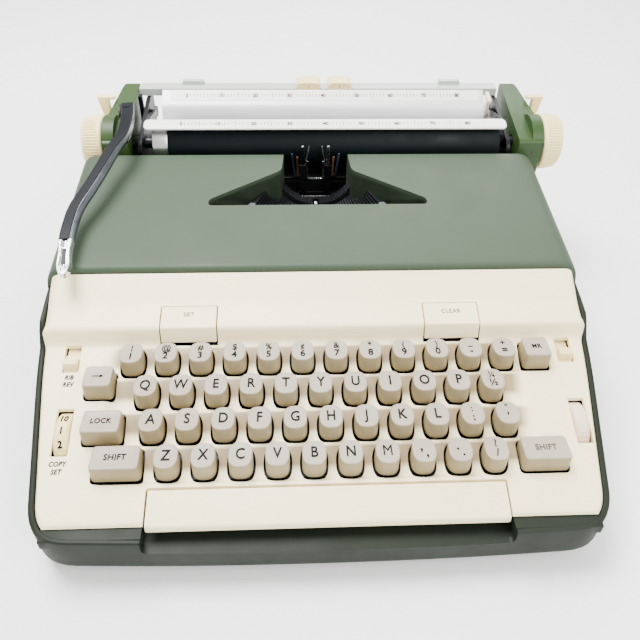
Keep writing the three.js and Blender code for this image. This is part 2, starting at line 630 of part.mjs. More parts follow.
function typingBar() {
  const pivot = [segmentY, printZ - SEGMENT_R];
  const length = TYPE_BAR_LENGTH - 2;
  const reach = (along) => [pivot[0] - along * Math.cos(TYPE_BAR_DROOP),
    pivot[1] - along * Math.sin(TYPE_BAR_DROOP)];
  const halfBar = BAR_THICKNESS / 2;
  const halfHead = HEAD_THICKNESS / 2;
  return join(barX(pivot, reach(length), 3, TYPE_X - halfBar, TYPE_X + halfBar),
    barX(reach(length - 4), reach(length), 4, TYPE_X - halfHead, TYPE_X + halfHead),
    rodX(pivot[0], pivot[1], 2.5, TYPE_X - halfBar, TYPE_X + halfBar, 2.5, 12));
}

function ribbonGuide() {
  const footZ = deckZ + SHEET_STEEL + GAP;
  const [y0, y1] = [guideY, guideY + 2.4];
  const solids = [box(TYPE_X - 12, TYPE_X + 12, y0, y1, footZ, footZ + 3)];
  for (const sign of [-1, 1]) {
    const x = TYPE_X + sign * 9;
    solids.push(box(x - 2.2, x + 2.2, y0, y1, footZ, printZ + 8));
  }
  return join(...solids);
}

const MOTOR = { x0: 50, x1: 120, r: 21, y: platenY + 16, z: 36 };
const ROLLER = { half: 100, r: 8, y: platenY - 18, z: 24 };
const BELT_X = 43;
const BELT_WIDTH = 4;
const PULLEY_R = 6;

function motor() {
  return join(rodX(MOTOR.y, MOTOR.z, MOTOR.r, MOTOR.x0, MOTOR.x1, MOTOR.r, 24),
    rodX(MOTOR.y, MOTOR.z, SHAFT_R, BELT_X - BELT_WIDTH, MOTOR.x0 + 1, SHAFT_R, 12),
    rodX(MOTOR.y, MOTOR.z, PULLEY_R, BELT_X - BELT_WIDTH / 2, BELT_X + BELT_WIDTH / 2));
}

// Two circles and their outer tangents, as one closed loop in Y and Z.
function loop(grow) {
  const small = PULLEY_R + grow;
  const large = ROLLER.r + grow;
  const [dy, dz] = [ROLLER.y - MOTOR.y, ROLLER.z - MOTOR.z];
  const heading = Math.atan2(dz, dy);
  const lean = Math.acos((small - large) / Math.hypot(dy, dz));
  const corners = [];
  const steps = 8;
  const arc = (y, z, radius, from, to) => {
    for (let i = 0; i <= steps; i += 1) {
      const angle = from + (to - from) * i / steps;
      corners.push([y + radius * Math.cos(angle), z + radius * Math.sin(angle)]);
    }
  };
  arc(ROLLER.y, ROLLER.z, large, heading - lean, heading + lean);
  arc(MOTOR.y, MOTOR.z, small, heading + lean, heading - lean + 2 * Math.PI);
  return corners;
}

function driveBelt() {
  const [x0, x1] = [BELT_X - BELT_WIDTH / 2, BELT_X + BELT_WIDTH / 2];
  return cut(side(loop(GAP + 1.5), x0, x1), side(loop(GAP), x0 - 1, x1 + 1));
}

const DRUM = { x: -105, z: 42, r: 20, y0: platenY + 18, y1: platenY + 30 };

function powerInlet() {
  const [x0, x1] = [inletX - INLET.width / 2, inletX + INLET.width / 2];
  const block = box(x0, x1, caseRearY - INLET.depth, caseRearY - 0.5, INLET.z,
    INLET.z + INLET.height);
  const socket = box(x0 + 2.5, x1 - 2.5, caseRearY - INLET.depth + 2.5, caseRearY + 1,
    INLET.z + 2.5, INLET.z + INLET.height - 2.5);
  return cut(block, socket);
}

// ---------- panel controls ----------
function spaceBar() {
  const rearY = spaceBarRearY;
  const z = panelZ(rearY) + 0.6;
  const frontY = rearY - SPACE_BAR_DEPTH;
  const endY = rearY - 11;
  const bar = side([[rearY, z - 6], [rearY, z, 1], [frontY, z - 5.6, 1],
    [frontY - 0.6, z - 9.4], [endY, z - 9.4]], spaceBarX0, spaceBarX1);
  const solids = [bar];
  for (const column of [1, 8]) {
    const x = columnX(column) + KEY_PITCH / 2;
    const [x0, x1] = [x - STEM_THICKNESS / 2, x + STEM_THICKNESS / 2];
    const rearArm = shaftY + HUB_R - 1;
    const arm = side([[endY, z - 8], [endY, spaceArmZ], [rearArm, spaceArmZ], [rearArm, shaftZ],
      [shaftY - HUB_R + 1, shaftZ], [shaftY - HUB_R + 1, spaceArmTopZ], [endY + 8, spaceArmTopZ],
      [endY + 8, z - 5]], x0, x1);
    solids.push(cut(join(arm, leverHub(x0, x1)), shaftHole(x0 - 1, x1 + 1)));
  }
  return join(...solids);
}

// The set and clear keys follow the ridge: a front face and a top face, folded from one plate.
function ridgeKey(x) {
  const half = MARGIN_KEY_WIDTH / 2;
  const proud = 0.5;
  const t = 3;
  return side([[ridgeY - 0.5, ridgeZ + 1], [ridgeFoldY - proud, ridgeFoldZ + proud],
    [ridgeTopY - 1.3, ridgeTopZ + proud - 0.3], [ridgeTopY - 1.3, ridgeTopZ - t],
    [ridgeFoldY + t, ridgeFoldZ - t], [ridgeY + t, ridgeZ + 1]], x - half, x + half);
}

function slideSwitch(slot) {
  const half = SLOT_WIDTH / 2 - 0.5;
  const top = (y) => panelZ(y) - 1;
  const y0 = slot.y - slot.length / 2 + 1;
  const y1 = slot.y + slot.length / 2 - 1 - SWITCH_TRAVEL;
  const shoe = side([[y0, top(y0) - 6], [y0, top(y0)], [y1, top(y1)], [y1, top(y1) - 6]],
    slot.x - half, slot.x + half);
  const nub = side([[y0 + 0.5, top(y0) - 1], [y0 + 1.5, top(y0) + 5], [y0 + 5, top(y0) + 6],
    [y0 + 8, top(y0) + 1]], slot.x - half, slot.x + half);
  return join(shoe, nub);
}

// A thumb wheel stands proud of the panel and has sunk below its underside where the slot ends.
const WHEEL_PROUD = 2.4;
const WHEEL_SINK = 7;
function thumbWheel(slot) {
  const half = WHEEL_SLOT_WIDTH / 2 - 0.7;
  const radius = ((slot.length / 2) ** 2 + WHEEL_SINK ** 2) / (2 * WHEEL_SINK);
  const tilt = Math.atan(slope);
  const y = slot.y + (radius - WHEEL_PROUD) * Math.sin(tilt);
  const z = panelZ(slot.y) - (radius - WHEEL_PROUD) * Math.cos(tilt);
  return rodX(y, z, radius, slot.x - half, slot.x + half, radius, 24);
}

// ---------- carriage ----------
const frameX = END_COVER_INNER_X - 9;
const CHEEK = 3;
const PIVOT = { y: carriageRearY - 17, z: platenZ + 7.5, r: 1.5 };
const bailLeftX = -frameX + 2.5;
const bailRightX = frameX - 0.5;

function carriageFrame() {
  const panHalf = endCoverOuterX - 2;
  const cheekTop = marginRailZ - GAP;
  const cheek = [[carriageFrontY + 2, panTopZ - 1], [carriageFrontY + 2, platenZ + 6, 6],
    [carriageFrontY + 30, platenZ + 12], [carriageRearY - 14, cheekTop],
    [carriageRearY - 1, cheekTop], [carriageRearY - 1, panTopZ - 1]];
  const solids = [
    box(-panHalf, panHalf, carriageFrontY, carriageRearY - 1, panZ, panTopZ),
    side(cheek, -frameX - CHEEK, -frameX),
    side(cheek, frameX + 1, frameX + 1 + CHEEK),
    rodX(PIVOT.y, PIVOT.z, PIVOT.r, -frameX - 1, bailLeftX + 2, PIVOT.r, 10),
    rodX(PIVOT.y, PIVOT.z, PIVOT.r, bailRightX - 2, frameX + 2, PIVOT.r, 10),
  ];
  const bore = rodX(platenY, platenZ, PLATEN_SHAFT_R + SHAFT_PLAY, -panHalf, panHalf);
  return cut(join(...solids), bore);
}

function endCover(sign) {
  const t = 2.5;
  const block = (inset, bottomZ) => {
    const y0 = carriageFrontY + inset;
    const y1 = carriageRearY + 1 - inset;
    const x0 = END_COVER_INNER_X + inset;
    const x1 = endCoverOuterX - inset;
    const sideView = side([[y0, bottomZ], [y0, endCoverTopZ(y0) - inset, 3],
      [y1, endCoverTopZ(y1) - inset, 3], [y1, bottomZ]], x0, x1);
    const floor = plan([[x0, y0], [x1, y0, 3], [x1, y0 + 32], [x1 - END_COVER_TAPER, y1, 5],
      [x0, y1]], bottomZ - 1, marginRailZ + 20);
    return common(sideView, floor);
  };
  const bottomZ = panTopZ + GAP;
  const boss = common(rodX(platenY, platenZ, KNOB_R - 0.6, endCoverOuterX - 8, endCoverOuterX),
    box(0, endCoverOuterX, carriageFrontY - 5, carriageRearY, bottomZ, marginRailZ + 20));
  const bore = rodX(platenY, platenZ, PLATEN_SHAFT_R + 1, 0, endCoverOuterX + 5);
  const slit = box(endCoverOuterX - 12, endCoverOuterX + 2, RELEASE.y - 1.5, RELEASE.y + 9.5,
    RELEASE.z - 4, RELEASE.z + 4);
  const right = cut(join(block(0, bottomZ), boss), block(t, bottomZ - 5), bore, slit);
  return sign > 0 ? right : right.mirror([1, 0, 0]);
}

function platen() {
  const shaftEnd = endCoverOuterX + KNOB_LENGTH - 2;
  return join(rodX(platenY, platenZ, PLATEN_R, PLATEN_LEFT_X, PLATEN_RIGHT_X, PLATEN_R, 32),
    rodX(platenY, platenZ, PLATEN_R - 0.5, PLATEN_LEFT_X - PLATEN_COLLAR, PLATEN_LEFT_X + 1),
    rodX(platenY, platenZ, PLATEN_SHAFT_R, -shaftEnd, shaftEnd, PLATEN_SHAFT_R, 16));
}

function knob(sign) {
  const x0 = endCoverOuterX + 0.5;
  const body = rodX(platenY, platenZ, KNOB_R, x0, x0 + KNOB_LENGTH, KNOB_TIP_R, 28);
  const bore = rodX(platenY, platenZ, PLATEN_SHAFT_R + GAP, x0 - 1, x0 + KNOB_LENGTH - 1.5);
  const right = cut(body, bore);
  return sign > 0 ? right : right.mirror([1, 0, 0]);
}

function returnLever() {
  const pivot = [-END_COVER_INNER_X - 2, platenY + 2];
  const topZ = platenZ + LEVER_OVER_PLATEN;
  const path = new THREE.CatmullRomCurve3([
    [1.5, 3, 0], [4.2, -15, -0.7], [4.5, -36, -2.8], [-0.3, -51, -5.8], [-4.4, -68, -9.3],
    [-9.4, -85.5, -13.3], [-14.6, -101.7, -17.3], [-15.9, -117.8, -20.8],
    [-15.3, -131.6, -23.8], [-14, -143.6, -26.3], [-12.5, -154, -28.3],
  ].map(([x, y, z]) => new THREE.Vector3(pivot[0] + x, pivot[1] + y, topZ + z)));
  const [a, b] = [LEVER_THICKNESS / 2, LEVER_WIDTH / 2];
  const section = outline([[-a, -b], [a, -b], [a, b], [-a, b]]);
  const arm = toSolid(new THREE.ExtrudeGeometry(section, { steps: 24, extrudePath: path }));
  const hubZ = endCoverTopZ(pivot[1] + 6) + 0.6;
  return join(arm, rodZ(pivot[0], pivot[1], 6, hubZ, topZ + LEVER_THICKNESS / 2));
}

function paperBail() {
  const [y0, y1] = [platenY - 13.5, platenY - 4];
  const [z0, z1] = [platenZ + PLATEN_R + 0.6, platenZ + PLATEN_R + 3.8];
  const strip = side([[y0, z0 - 0.4], [y0, z0 + 1], [y1, z1], [y1, z1 - 1.6]],
    bailLeftX, bailRightX);
  const solids = [strip];
  for (const x of [bailLeftX, bailRightX - 2]) {
    const arm = join(barX([y1 - 3, z1 - 2.2], [PIVOT.y, PIVOT.z], 4, x, x + 2),
      rodX(PIVOT.y, PIVOT.z, 4, x, x + 2, 4, 14));
    solids.push(cut(arm, rodX(PIVOT.y, PIVOT.z, PIVOT.r + GAP, x - 1, x + 3, PIVOT.r + GAP, 10)));
  }
  return join(...solids);
}

function paperTable() {
  const t = TABLE_THICKNESS;
  const y0 = platenY + PLATEN_R + 5;
  const face = [[y0, panTopZ + GAP], [y0, platenZ], [y0 + 2, platenZ + 8.5],
    [y0 + 5, platenZ + 15.5], [y0 + 16, platenZ + 23.5]];
  const back = face.map(([y, z], i) => [y + (i < 4 ? t : 0.4), z - (i < 4 ? 0 : t)]).reverse();
  back[1] = [face[3][0] + t, face[3][1] - 0.8];
  return side([...face, ...back], PLATEN_LEFT_X - 8, PLATEN_RIGHT_X - 4);
}

const TAB_X = 98;
function marginRail() {
  const rail = box(-END_COVER_INNER_X + 1, frameX + 4, marginRailY, marginRailY + RAIL_DEPTH,
    marginRailZ, marginRailZ + 5.5);
  const tabs = [-TAB_X, TAB_X].map((x) => box(x - 8, x + 8, marginRailY + RAIL_DEPTH - 4,
    marginRailY + RAIL_DEPTH + 0.5, marginRailZ, marginRailZ + 8.5));
  return join(rail, ...tabs);
}

function marginStop(x0) {
  const y0 = marginRailY - 1.5;
  const y1 = marginRailY + RAIL_DEPTH + 1.5;
  const saddle = box(x0, x0 + STOP_WIDTH, y0, y1, marginRailZ - 2, marginRailZ + 10.5);
  const groove = box(x0 - 1, x0 + STOP_WIDTH + 1, marginRailY - GAP,
    marginRailY + RAIL_DEPTH + GAP, marginRailZ - 5, marginRailZ + 5.5 + GAP);
  return cut(saddle, groove);
}

const RELEASE = { y: platenY + 25, z: platenZ + 1 };
function carriageRelease(sign) {
  const [y0, y1] = [RELEASE.y, RELEASE.y + 8];
  const rootX = endCoverOuterX + 1.5;
  const underZ = endCoverTopZ(y1) + 1.5;
  const [lowZ, topZ] = [RELEASE.z - 1.5, underZ + 2];
  const tab = front([[rootX, lowZ], [rootX + 4, lowZ], [rootX + 8, topZ], [rootX - 5, topZ],
    [rootX - 5, underZ], [rootX, underZ]], y0 + 2, y1 - 1);
  const arm = box(END_COVER_INNER_X + 5, rootX + 1, y0, y1, lowZ, RELEASE.z + 1.5);
  const right = join(tab, arm);
  return sign > 0 ? right : right.mirror([1, 0, 0]);
}

function paperRelease() {
  const x0 = PLATEN_RIGHT_X - 2.8;
  const [y, z] = [platenY + 30, platenZ - 4];
  return join(rodX(y, z, 4, x0, x0 + 2.6, 4, 14), barX([y, z], [y - 3, platenZ + 20], 5, x0, x0 + 2.6),
    side([[y - 8, platenZ + 19], [y - 8, platenZ + 21.5], [y + 4, platenZ + 23.5],
      [y + 4, platenZ + 20.5]], x0, x0 + 2.6));
}

function lineSpaceLever() {
  const x0 = -frameX - CHEEK - 4.2;
  const [y, z] = [PIVOT.y - 4, PIVOT.z - 4];
  return join(rodX(y, z, 4, x0, x0 + 2.6, 4, 14), barX([y, z], [y, platenZ + 22], 5, x0, x0 + 2.6));
}

// ---------- assembly ----------
const typewriter = new THREE.Group();
const body = new THREE.Group();
body.position.x = BODY_X;
const carriage = new THREE.Group();
typewriter.add(body, carriage);

addPiece(body, "base_case", baseCase(), caseGreen);
addPiece(body, "keyboard_panel", keyboardPanel(), cream);
addPiece(body, "ribbon_cover", ribbonCover(), sage);
addPiece(body, "chassis", chassis(), steel);
for (const [end, y] of [["front", caseFrontY + FOOT_INSET], ["rear", caseRearY - FOOT_INSET]]) {
  for (const [hand, sign] of [["left", -1], ["right", 1]]) {
    const foot = rodZ(sign * (bodyHalf - FOOT_SIDE_INSET), y, FOOT_R, 0, CASE_BOTTOM_Z - GAP);
    addPiece(body, `foot_${end}_${hand}`, foot, rubber);
  }
}
addPiece(body, "carriage_rail", carriageRail(), steel);
const shaftEndX = frameHalf - SHEET_STEEL - GAP;
const keyShaft = rodX(shaftY, shaftZ, SHAFT_R, -shaftEndX, shaftEndX, SHAFT_R, HUB_SEGMENTS);
addPiece(body, "key_shaft", keyShaft, steel);
addPiece(body, "motor", motor(), darkSteel);
addPiece(body, "power_roller", rodX(ROLLER.y, ROLLER.z, ROLLER.r, -ROLLER.half, ROLLER.half), rubber);
addPiece(body, "drive_belt", driveBelt(), rubber);
addPiece(body, "mainspring_drum", rodY(DRUM.x, DRUM.z, DRUM.r, DRUM.y0, DRUM.y1), steel);
addPiece(body, "power_inlet", powerInlet(), rubber);
addPiece(body, "type_segment", typeSegment(), darkSteel);
addPiece(body, "type_bars", typeBars(), steel);
addPiece(body, "typing_bar", typingBar(), steel);
addPiece(body, "ribbon_guide", ribbonGuide(), darkSteel);
addPiece(body, "ribbon_spool_left", ribbonSpool(-1), darkSteel);
addPiece(body, "ribbon_spool_right", ribbonSpool(1), darkSteel);
for (let column = 0; column < columnCount; column += 1) {
  addPiece(body, `key_column_${columnNames[column]}`, keyColumn(column), keyGrey);
}
for (const name of [...Object.keys(wideKeys), ...Object.keys(rightKeys)]) {
  addPiece(body, name, wideKeySolid(name), keyGrey);
}
addPiece(body, "tab_set_key", ridgeKey(SET_KEY_X), cream);
addPiece(body, "tab_clear_key", ridgeKey(CLEAR_KEY_X), cream);
addPiece(body, "space_bar", spaceBar(), cream);
addPiece(body, "power_switch", slideSwitch(powerSlot), ivory);
addPiece(body, "ribbon_switch", slideSwitch(ribbonSlot), ivory);
addPiece(body, "copy_set_wheel", thumbWheel(copySlot), ivory);
addPiece(body, "touch_wheel", thumbWheel(touchSlot), ivory);

addPiece(carriage, "carriage_frame", carriageFrame(), steel);
addPiece(carriage, "end_cover_left", endCover(-1), endGreen);
addPiece(carriage, "end_cover_right", endCover(1), endGreen);
addPiece(carriage, "platen", platen(), rubber);
addPiece(carriage, "knob_left", knob(-1), ivory);
addPiece(carriage, "knob_right", knob(1), ivory);
addPiece(carriage, "return_lever", returnLever(), darkSteel);
addPiece(carriage, "paper_bail", paperBail(), ivory);
addPiece(carriage, "paper_table", paperTable(), silver);
addPiece(carriage, "margin_rail", marginRail(), steel);
addPiece(carriage, "margin_stop_left", marginStop(STOP_LEFT_X), ivory);
addPiece(carriage, "margin_stop_right", marginStop(STOP_RIGHT_X), ivory);
addPiece(carriage, "carriage_release_left", carriageRelease(-1), ivory);
addPiece(carriage, "carriage_release_right", carriageRelease(1), ivory);
addPiece(carriage, "paper_release_lever", paperRelease(), ivory);
addPiece(carriage, "line_space_lever", lineSpaceLever(), darkSteel);

export default typewriter;
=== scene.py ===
import math

import bmesh
import bpy
from mathutils import Matrix, Vector


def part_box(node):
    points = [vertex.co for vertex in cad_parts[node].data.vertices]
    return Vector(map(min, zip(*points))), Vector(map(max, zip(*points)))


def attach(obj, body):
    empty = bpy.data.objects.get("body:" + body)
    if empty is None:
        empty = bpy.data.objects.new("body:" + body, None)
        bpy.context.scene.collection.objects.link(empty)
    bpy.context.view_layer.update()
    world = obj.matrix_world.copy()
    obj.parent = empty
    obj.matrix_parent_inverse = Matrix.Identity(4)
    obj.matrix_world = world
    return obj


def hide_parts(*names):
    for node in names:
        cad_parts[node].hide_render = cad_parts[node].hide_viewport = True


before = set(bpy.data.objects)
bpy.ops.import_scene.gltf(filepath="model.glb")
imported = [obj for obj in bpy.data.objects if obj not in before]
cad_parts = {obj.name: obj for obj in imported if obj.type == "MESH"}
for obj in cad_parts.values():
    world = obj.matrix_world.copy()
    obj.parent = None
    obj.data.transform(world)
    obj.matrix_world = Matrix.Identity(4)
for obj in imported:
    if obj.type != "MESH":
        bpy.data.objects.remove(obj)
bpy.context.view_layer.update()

# Lengths below are in millimetres unless a name says otherwise; MM turns them into metres.
MM = 0.001


# ---------- camera, floor and light ----------
CAMERA_PLACE = (-26.1, -330.4, 332.1)
CAMERA_YAW = 0.058
CAMERA_PITCH = 0.742
CAMERA_ROLL = 0.024
CAMERA_LENS = 37.125


def add_camera():
    yaw, pitch, roll = CAMERA_YAW, CAMERA_PITCH, CAMERA_ROLL
    forward = Vector((math.sin(yaw) * math.cos(pitch), math.cos(yaw) * math.cos(pitch), -math.sin(pitch)))
    level = Vector((math.cos(yaw), -math.sin(yaw), 0))
    lift = level.cross(forward)
    right = level * math.cos(roll) + lift * math.sin(roll)
    up = lift * math.cos(roll) - level * math.sin(roll)
    data = bpy.data.cameras.new("camera")
    data.lens = CAMERA_LENS
    data.sensor_width = 36
    camera = bpy.data.objects.new("camera", data)
    bpy.context.scene.collection.objects.link(camera)
    basis = Matrix((right, up, -forward)).transposed().to_4x4()
    camera.matrix_world = Matrix.Translation(Vector(CAMERA_PLACE) * MM) @ basis
    bpy.context.scene.camera = camera


def add_light(name, place, target, size, power):
    data = bpy.data.lights.new(name, "AREA")
    data.shape = "DISK"
    data.size = size
    data.energy = power
    light = bpy.data.objects.new(name, data)
    bpy.context.scene.collection.objects.link(light)
    light.location = place
    aim = Vector(target) - Vector(place)
    light.rotation_euler = aim.to_track_quat("-Z", "Y").to_euler()


def add_studio():
    world = bpy.data.worlds.new("studio")
    bpy.context.scene.world = world
    world.use_nodes = True
    background = world.node_tree.nodes["Background"]
    background.inputs["Color"].default_value = (1.0, 0.995, 0.985, 1)
    background.inputs["Strength"].default_value = 1.45
    add_light("key_light", (-0.35, 0.25, 1.25), (0, -0.02, 0.05), 0.7, 50)
    add_light("fill_light", (0.8, -0.8, 0.9), (0, 0, 0.05), 0.9, 20)
    add_light("rear_light", (0.3, 1.0, 0.8), (0, 0, 0.1), 0.8, 10)


# ---------- materials ----------
class Nodes:
    """Short calls for building one material's node tree."""

    def __init__(self, name):
        self.material = bpy.data.materials.new(name)
        self.material.use_nodes = True
        self.tree = self.material.node_tree
        self.shader = self.tree.nodes["Principled BSDF"]
        self.place = self.tree.nodes.new("ShaderNodeTexCoord").outputs["Object"]

    def node(self, kind, **values):
        made = self.tree.nodes.new(kind)
        for key, value in values.items():
            setattr(made, key, value)
        return made

    def link(self, source, target):
        self.tree.links.new(source, target)

    def noise(self, scale, detail=3, stretch=(1, 1, 1)):
        mapping = self.node("ShaderNodeMapping")
        mapping.inputs["Scale"].default_value = stretch
        self.link(self.place, mapping.inputs["Vector"])
        noise = self.node("ShaderNodeTexNoise")
        noise.inputs["Scale"].default_value = scale
        noise.inputs["Detail"].default_value = detail
        self.link(mapping.outputs["Vector"], noise.inputs["Vector"])
        return noise.outputs["Fac"]

    def ramp(self, source, low, high, first, second):
        ramp = self.node("ShaderNodeValToRGB")
        ramp.color_ramp.elements[0].position = low
        ramp.color_ramp.elements[1].position = high
        ramp.color_ramp.elements[0].color = (*first, 1)
        ramp.color_ramp.elements[1].color = (*second, 1)
        self.link(source, ramp.inputs["Fac"])
        return ramp.outputs["Color"]

    def mix(self, factor, first, second):
        mix = self.node("ShaderNodeMix", data_type="RGBA")
        for socket, value in ((mix.inputs[0], factor), (mix.inputs[6], first), (mix.inputs[7], second)):
            if isinstance(value, bpy.types.NodeSocket):
                self.link(value, socket)
            else:
                socket.default_value = value if isinstance(value, float) else (*value, 1)
        return mix.outputs[2]

    def spread(self, source, low, high):
        spread = self.node("ShaderNodeMapRange")
        spread.inputs["From Min"].default_value = 0.3
        spread.inputs["From Max"].default_value = 0.7
        spread.inputs["To Min"].default_value = low
        spread.inputs["To Max"].default_value = high
        self.link(source, spread.inputs["Value"])
        return spread.outputs["Result"]

    def bump(self, source, height, strength=0.5):
        bump = self.node("ShaderNodeBump")
        bump.inputs["Distance"].default_value = height * MM
        bump.inputs["Strength"].default_value = strength
        self.link(source, bump.inputs["Height"])
        self.link(bump.outputs["Normal"], self.shader.inputs["Normal"])

    def math(self, operation, first, second=0.0):
        node = self.node("ShaderNodeMath", operation=operation)
        for socket, value in zip(node.inputs, (first, second)):
            if isinstance(value, bpy.types.NodeSocket):
                self.link(value, socket)
            else:
                socket.default_value = value
        return node.outputs[0]

    def step(self, source, start, end):
        """0 before start and 1 after end, softly; start may be the larger."""
        node = self.node("ShaderNodeMapRange", interpolation_type="SMOOTHSTEP")
        low, high = min(start, end), max(start, end)
        node.inputs["From Min"].default_value = low
        node.inputs["From Max"].default_value = high
        node.inputs["To Min"].default_value = 0.0 if start < end else 1.0
        node.inputs["To Max"].default_value = 1.0 if start < end else 0.0
        self.link(source, node.inputs["Value"])
        return node.outputs["Result"]

    def colour(self, source):
        self.link(source, self.shader.inputs["Base Color"])

    def roughness(self, source):
        self.link(source, self.shader.inputs["Roughness"])


def shade(colour, factor):
    return tuple(min(1.0, c * factor) for c in colour)


def painted(name, colour, roughness=0.42, grain=900, coat=0.0, mottle=0.94, bump=0.06, shine=0.3):
    """Sprayed paint or moulded plastic: soft mottling, faint dirt and a fine grain."""
    n = Nodes(name)
    base = n.ramp(n.noise(9, 4), 0.35, 0.65, shade(colour, mottle), colour)
    dirt = n.ramp(n.noise(260, 6), 0.66, 0.8, (0, 0, 0), (0.12, 0.12, 0.12))
    n.colour(n.mix(dirt, base, shade(colour, 0.55)))
    n.roughness(n.spread(n.noise(40, 3), roughness - 0.05, roughness + 0.07))
    n.shader.inputs["Specular IOR Level"].default_value = shine
    n.shader.inputs["Coat Weight"].default_value = coat
    n.shader.inputs["Coat Roughness"].default_value = 0.25
    n.bump(n.noise(grain, 2), bump, 0.35)
    return n.material


def aged(name, colour, tint, roughness=0.4, grain=1100):
    """Old pale plastic: warm yellowing in clouds over the moulded colour."""
    n = Nodes(name)
    n.shader.inputs["Specular IOR Level"].default_value = 0.35
    cloud = n.ramp(n.noise(14, 5), 0.38, 0.7, (0, 0, 0), (0.75, 0.75, 0.75))
    base = n.mix(cloud, colour, tint)
    specks = n.ramp(n.noise(700, 3), 0.72, 0.8, (0, 0, 0), (0.35, 0.35, 0.35))
    n.colour(n.mix(specks, base, shade(tint, 0.5)))
    n.roughness(n.spread(n.noise(55, 3), roughness - 0.06, roughness + 0.08))
    n.bump(n.noise(grain, 2), 0.05, 0.3)
    return n.material


def metal(name, colour, roughness=0.3, stretch=(1, 1, 1), metallic=1.0, dark=0.8):
    """Bare metal: drawn or ground lines along the stretch and duller patches."""
    n = Nodes(name)
    lines = n.noise(420, 3, stretch)
    n.colour(n.ramp(lines, 0.3, 0.7, shade(colour, dark), colour))
    n.roughness(n.spread(n.noise(70, 4, stretch), roughness - 0.07, roughness + 0.1))
    n.shader.inputs["Metallic"].default_value = metallic
    n.bump(lines, 0.02, 0.25)
    return n.material


def rubbery(name, colour, roughness=0.55, grain=600):
    """Ground rubber: even dark tone with paler scuffs and a fine tooth."""
    n = Nodes(name)
    n.shader.inputs["Specular IOR Level"].default_value = 0.15
    scuffs = n.ramp(n.noise(120, 6, (0.15, 1, 1)), 0.56, 0.75, colour, shade(colour, 2.2))
    n.colour(scuffs)
    n.roughness(n.spread(n.noise(60, 3), roughness - 0.1, roughness + 0.1))
    n.bump(n.noise(grain, 3), 0.05, 0.4)
    return n.material


def ink(name, colour):
    """Printed or moulded-in lettering, very slightly worn."""
    n = Nodes(name)
    n.colour(n.ramp(n.noise(1500, 3), 0.35, 0.8, colour, shade(colour, 1.8)))
    n.roughness(n.spread(n.noise(300, 2), 0.5, 0.7))
    n.shader.inputs["Specular IOR Level"].default_value = 0.12
    return n.material


SAGE = painted("sage_paint", (0.040, 0.060, 0.036), 0.52, 700, shine=0.22)
CASE = painted("case_paint", (0.0072, 0.0108, 0.0055), 0.55, 600, shine=0.2)
END_GREEN = painted("end_green_plastic", (0.023, 0.052, 0.011), 0.42, 900, shine=0.25)
CREAM = aged("cream_plastic", (0.96, 0.84, 0.54), (0.92, 0.77, 0.42), 0.45)
KEY_GREY = aged("key_plastic", (0.345, 0.30, 0.24), (0.315, 0.262, 0.192), 0.45, 1500)
# Painted shade: a darker, warmer copy of the key plastic for the caps' sides, standing in for shade and
# reflected cream light.
KEY_SIDE_SHADE = aged("key_side_painted_shade", (0.29, 0.24, 0.14), (0.25, 0.19, 0.095), 0.45, 1500)
IVORY = aged("ivory_plastic", (0.88, 0.73, 0.36), (0.80, 0.62, 0.26), 0.4)
PINK = aged("pink_plastic", (0.80, 0.62, 0.50), (0.74, 0.55, 0.42), 0.36)
STEEL = metal("sheet_steel", (0.36, 0.36, 0.35), 0.38, (0.1, 1, 1))
BRIGHT = metal("bright_steel", (0.66, 0.66, 0.65), 0.24, (0.08, 1, 1))
CHROME = metal("chrome", (0.62, 0.63, 0.64), 0.14, (1, 1, 1), 1.0, 0.92)
LEVER_SIDE = metal("lever_side_steel", (0.14, 0.15, 0.165), 0.26, (1, 0.1, 1), 1.0, 0.7)
# Painted light: a much lighter copy of the sage paint for the mouth's lips, which sit in shadow.
LIP_LIT_GREEN = painted("lip_painted_light", (0.30, 0.38, 0.27), 0.5, 700)
BLUED = metal("blued_steel", (0.13, 0.2, 0.28), 0.3)
COPPER = metal("copper_strip", (0.62, 0.30, 0.17), 0.3)
BLACK = painted("black_enamel", (0.0022, 0.0025, 0.0028), 0.4, 500, 0.0, 0.8, 0.06, 0.2)
NAVY = painted("lever_enamel", (0.0012, 0.0026, 0.0045), 0.42, 300, 0.0, 0.8, 0.03, 0.12)
DARK = metal("dark_steel", (0.02, 0.022, 0.025), 0.38, (1, 1, 1), 0.7)
PLATEN = rubbery("platen_rubber", (0.0012, 0.0032, 0.004), 0.55)
RUBBER = rubbery("black_rubber", (0.02, 0.02, 0.02), 0.7)
SILVER = metal("silver_plate", (0.74, 0.75, 0.745), 0.42, (0.05, 1, 1), 0.3, 0.95)
RAIL_GREY = painted("rail_enamel", (0.42, 0.46, 0.42), 0.4, 500, 0.2)
WHITE = painted("white_enamel", (0.85, 0.84, 0.80), 0.35, 500, 0.3)
GREY_HEAD = painted("type_head_grey", (0.085, 0.105, 0.115), 0.35, 900)
LEGEND = ink("legend_ink", (0.0022, 0.0022, 0.0022))
PALE_LEGEND = ink("pale_legend_ink", (0.075, 0.06, 0.045))
RED = ink("red_mark", (0.62, 0.02, 0.012))
FELT = rubbery("felt", (0.012, 0.012, 0.012), 0.9, 300)


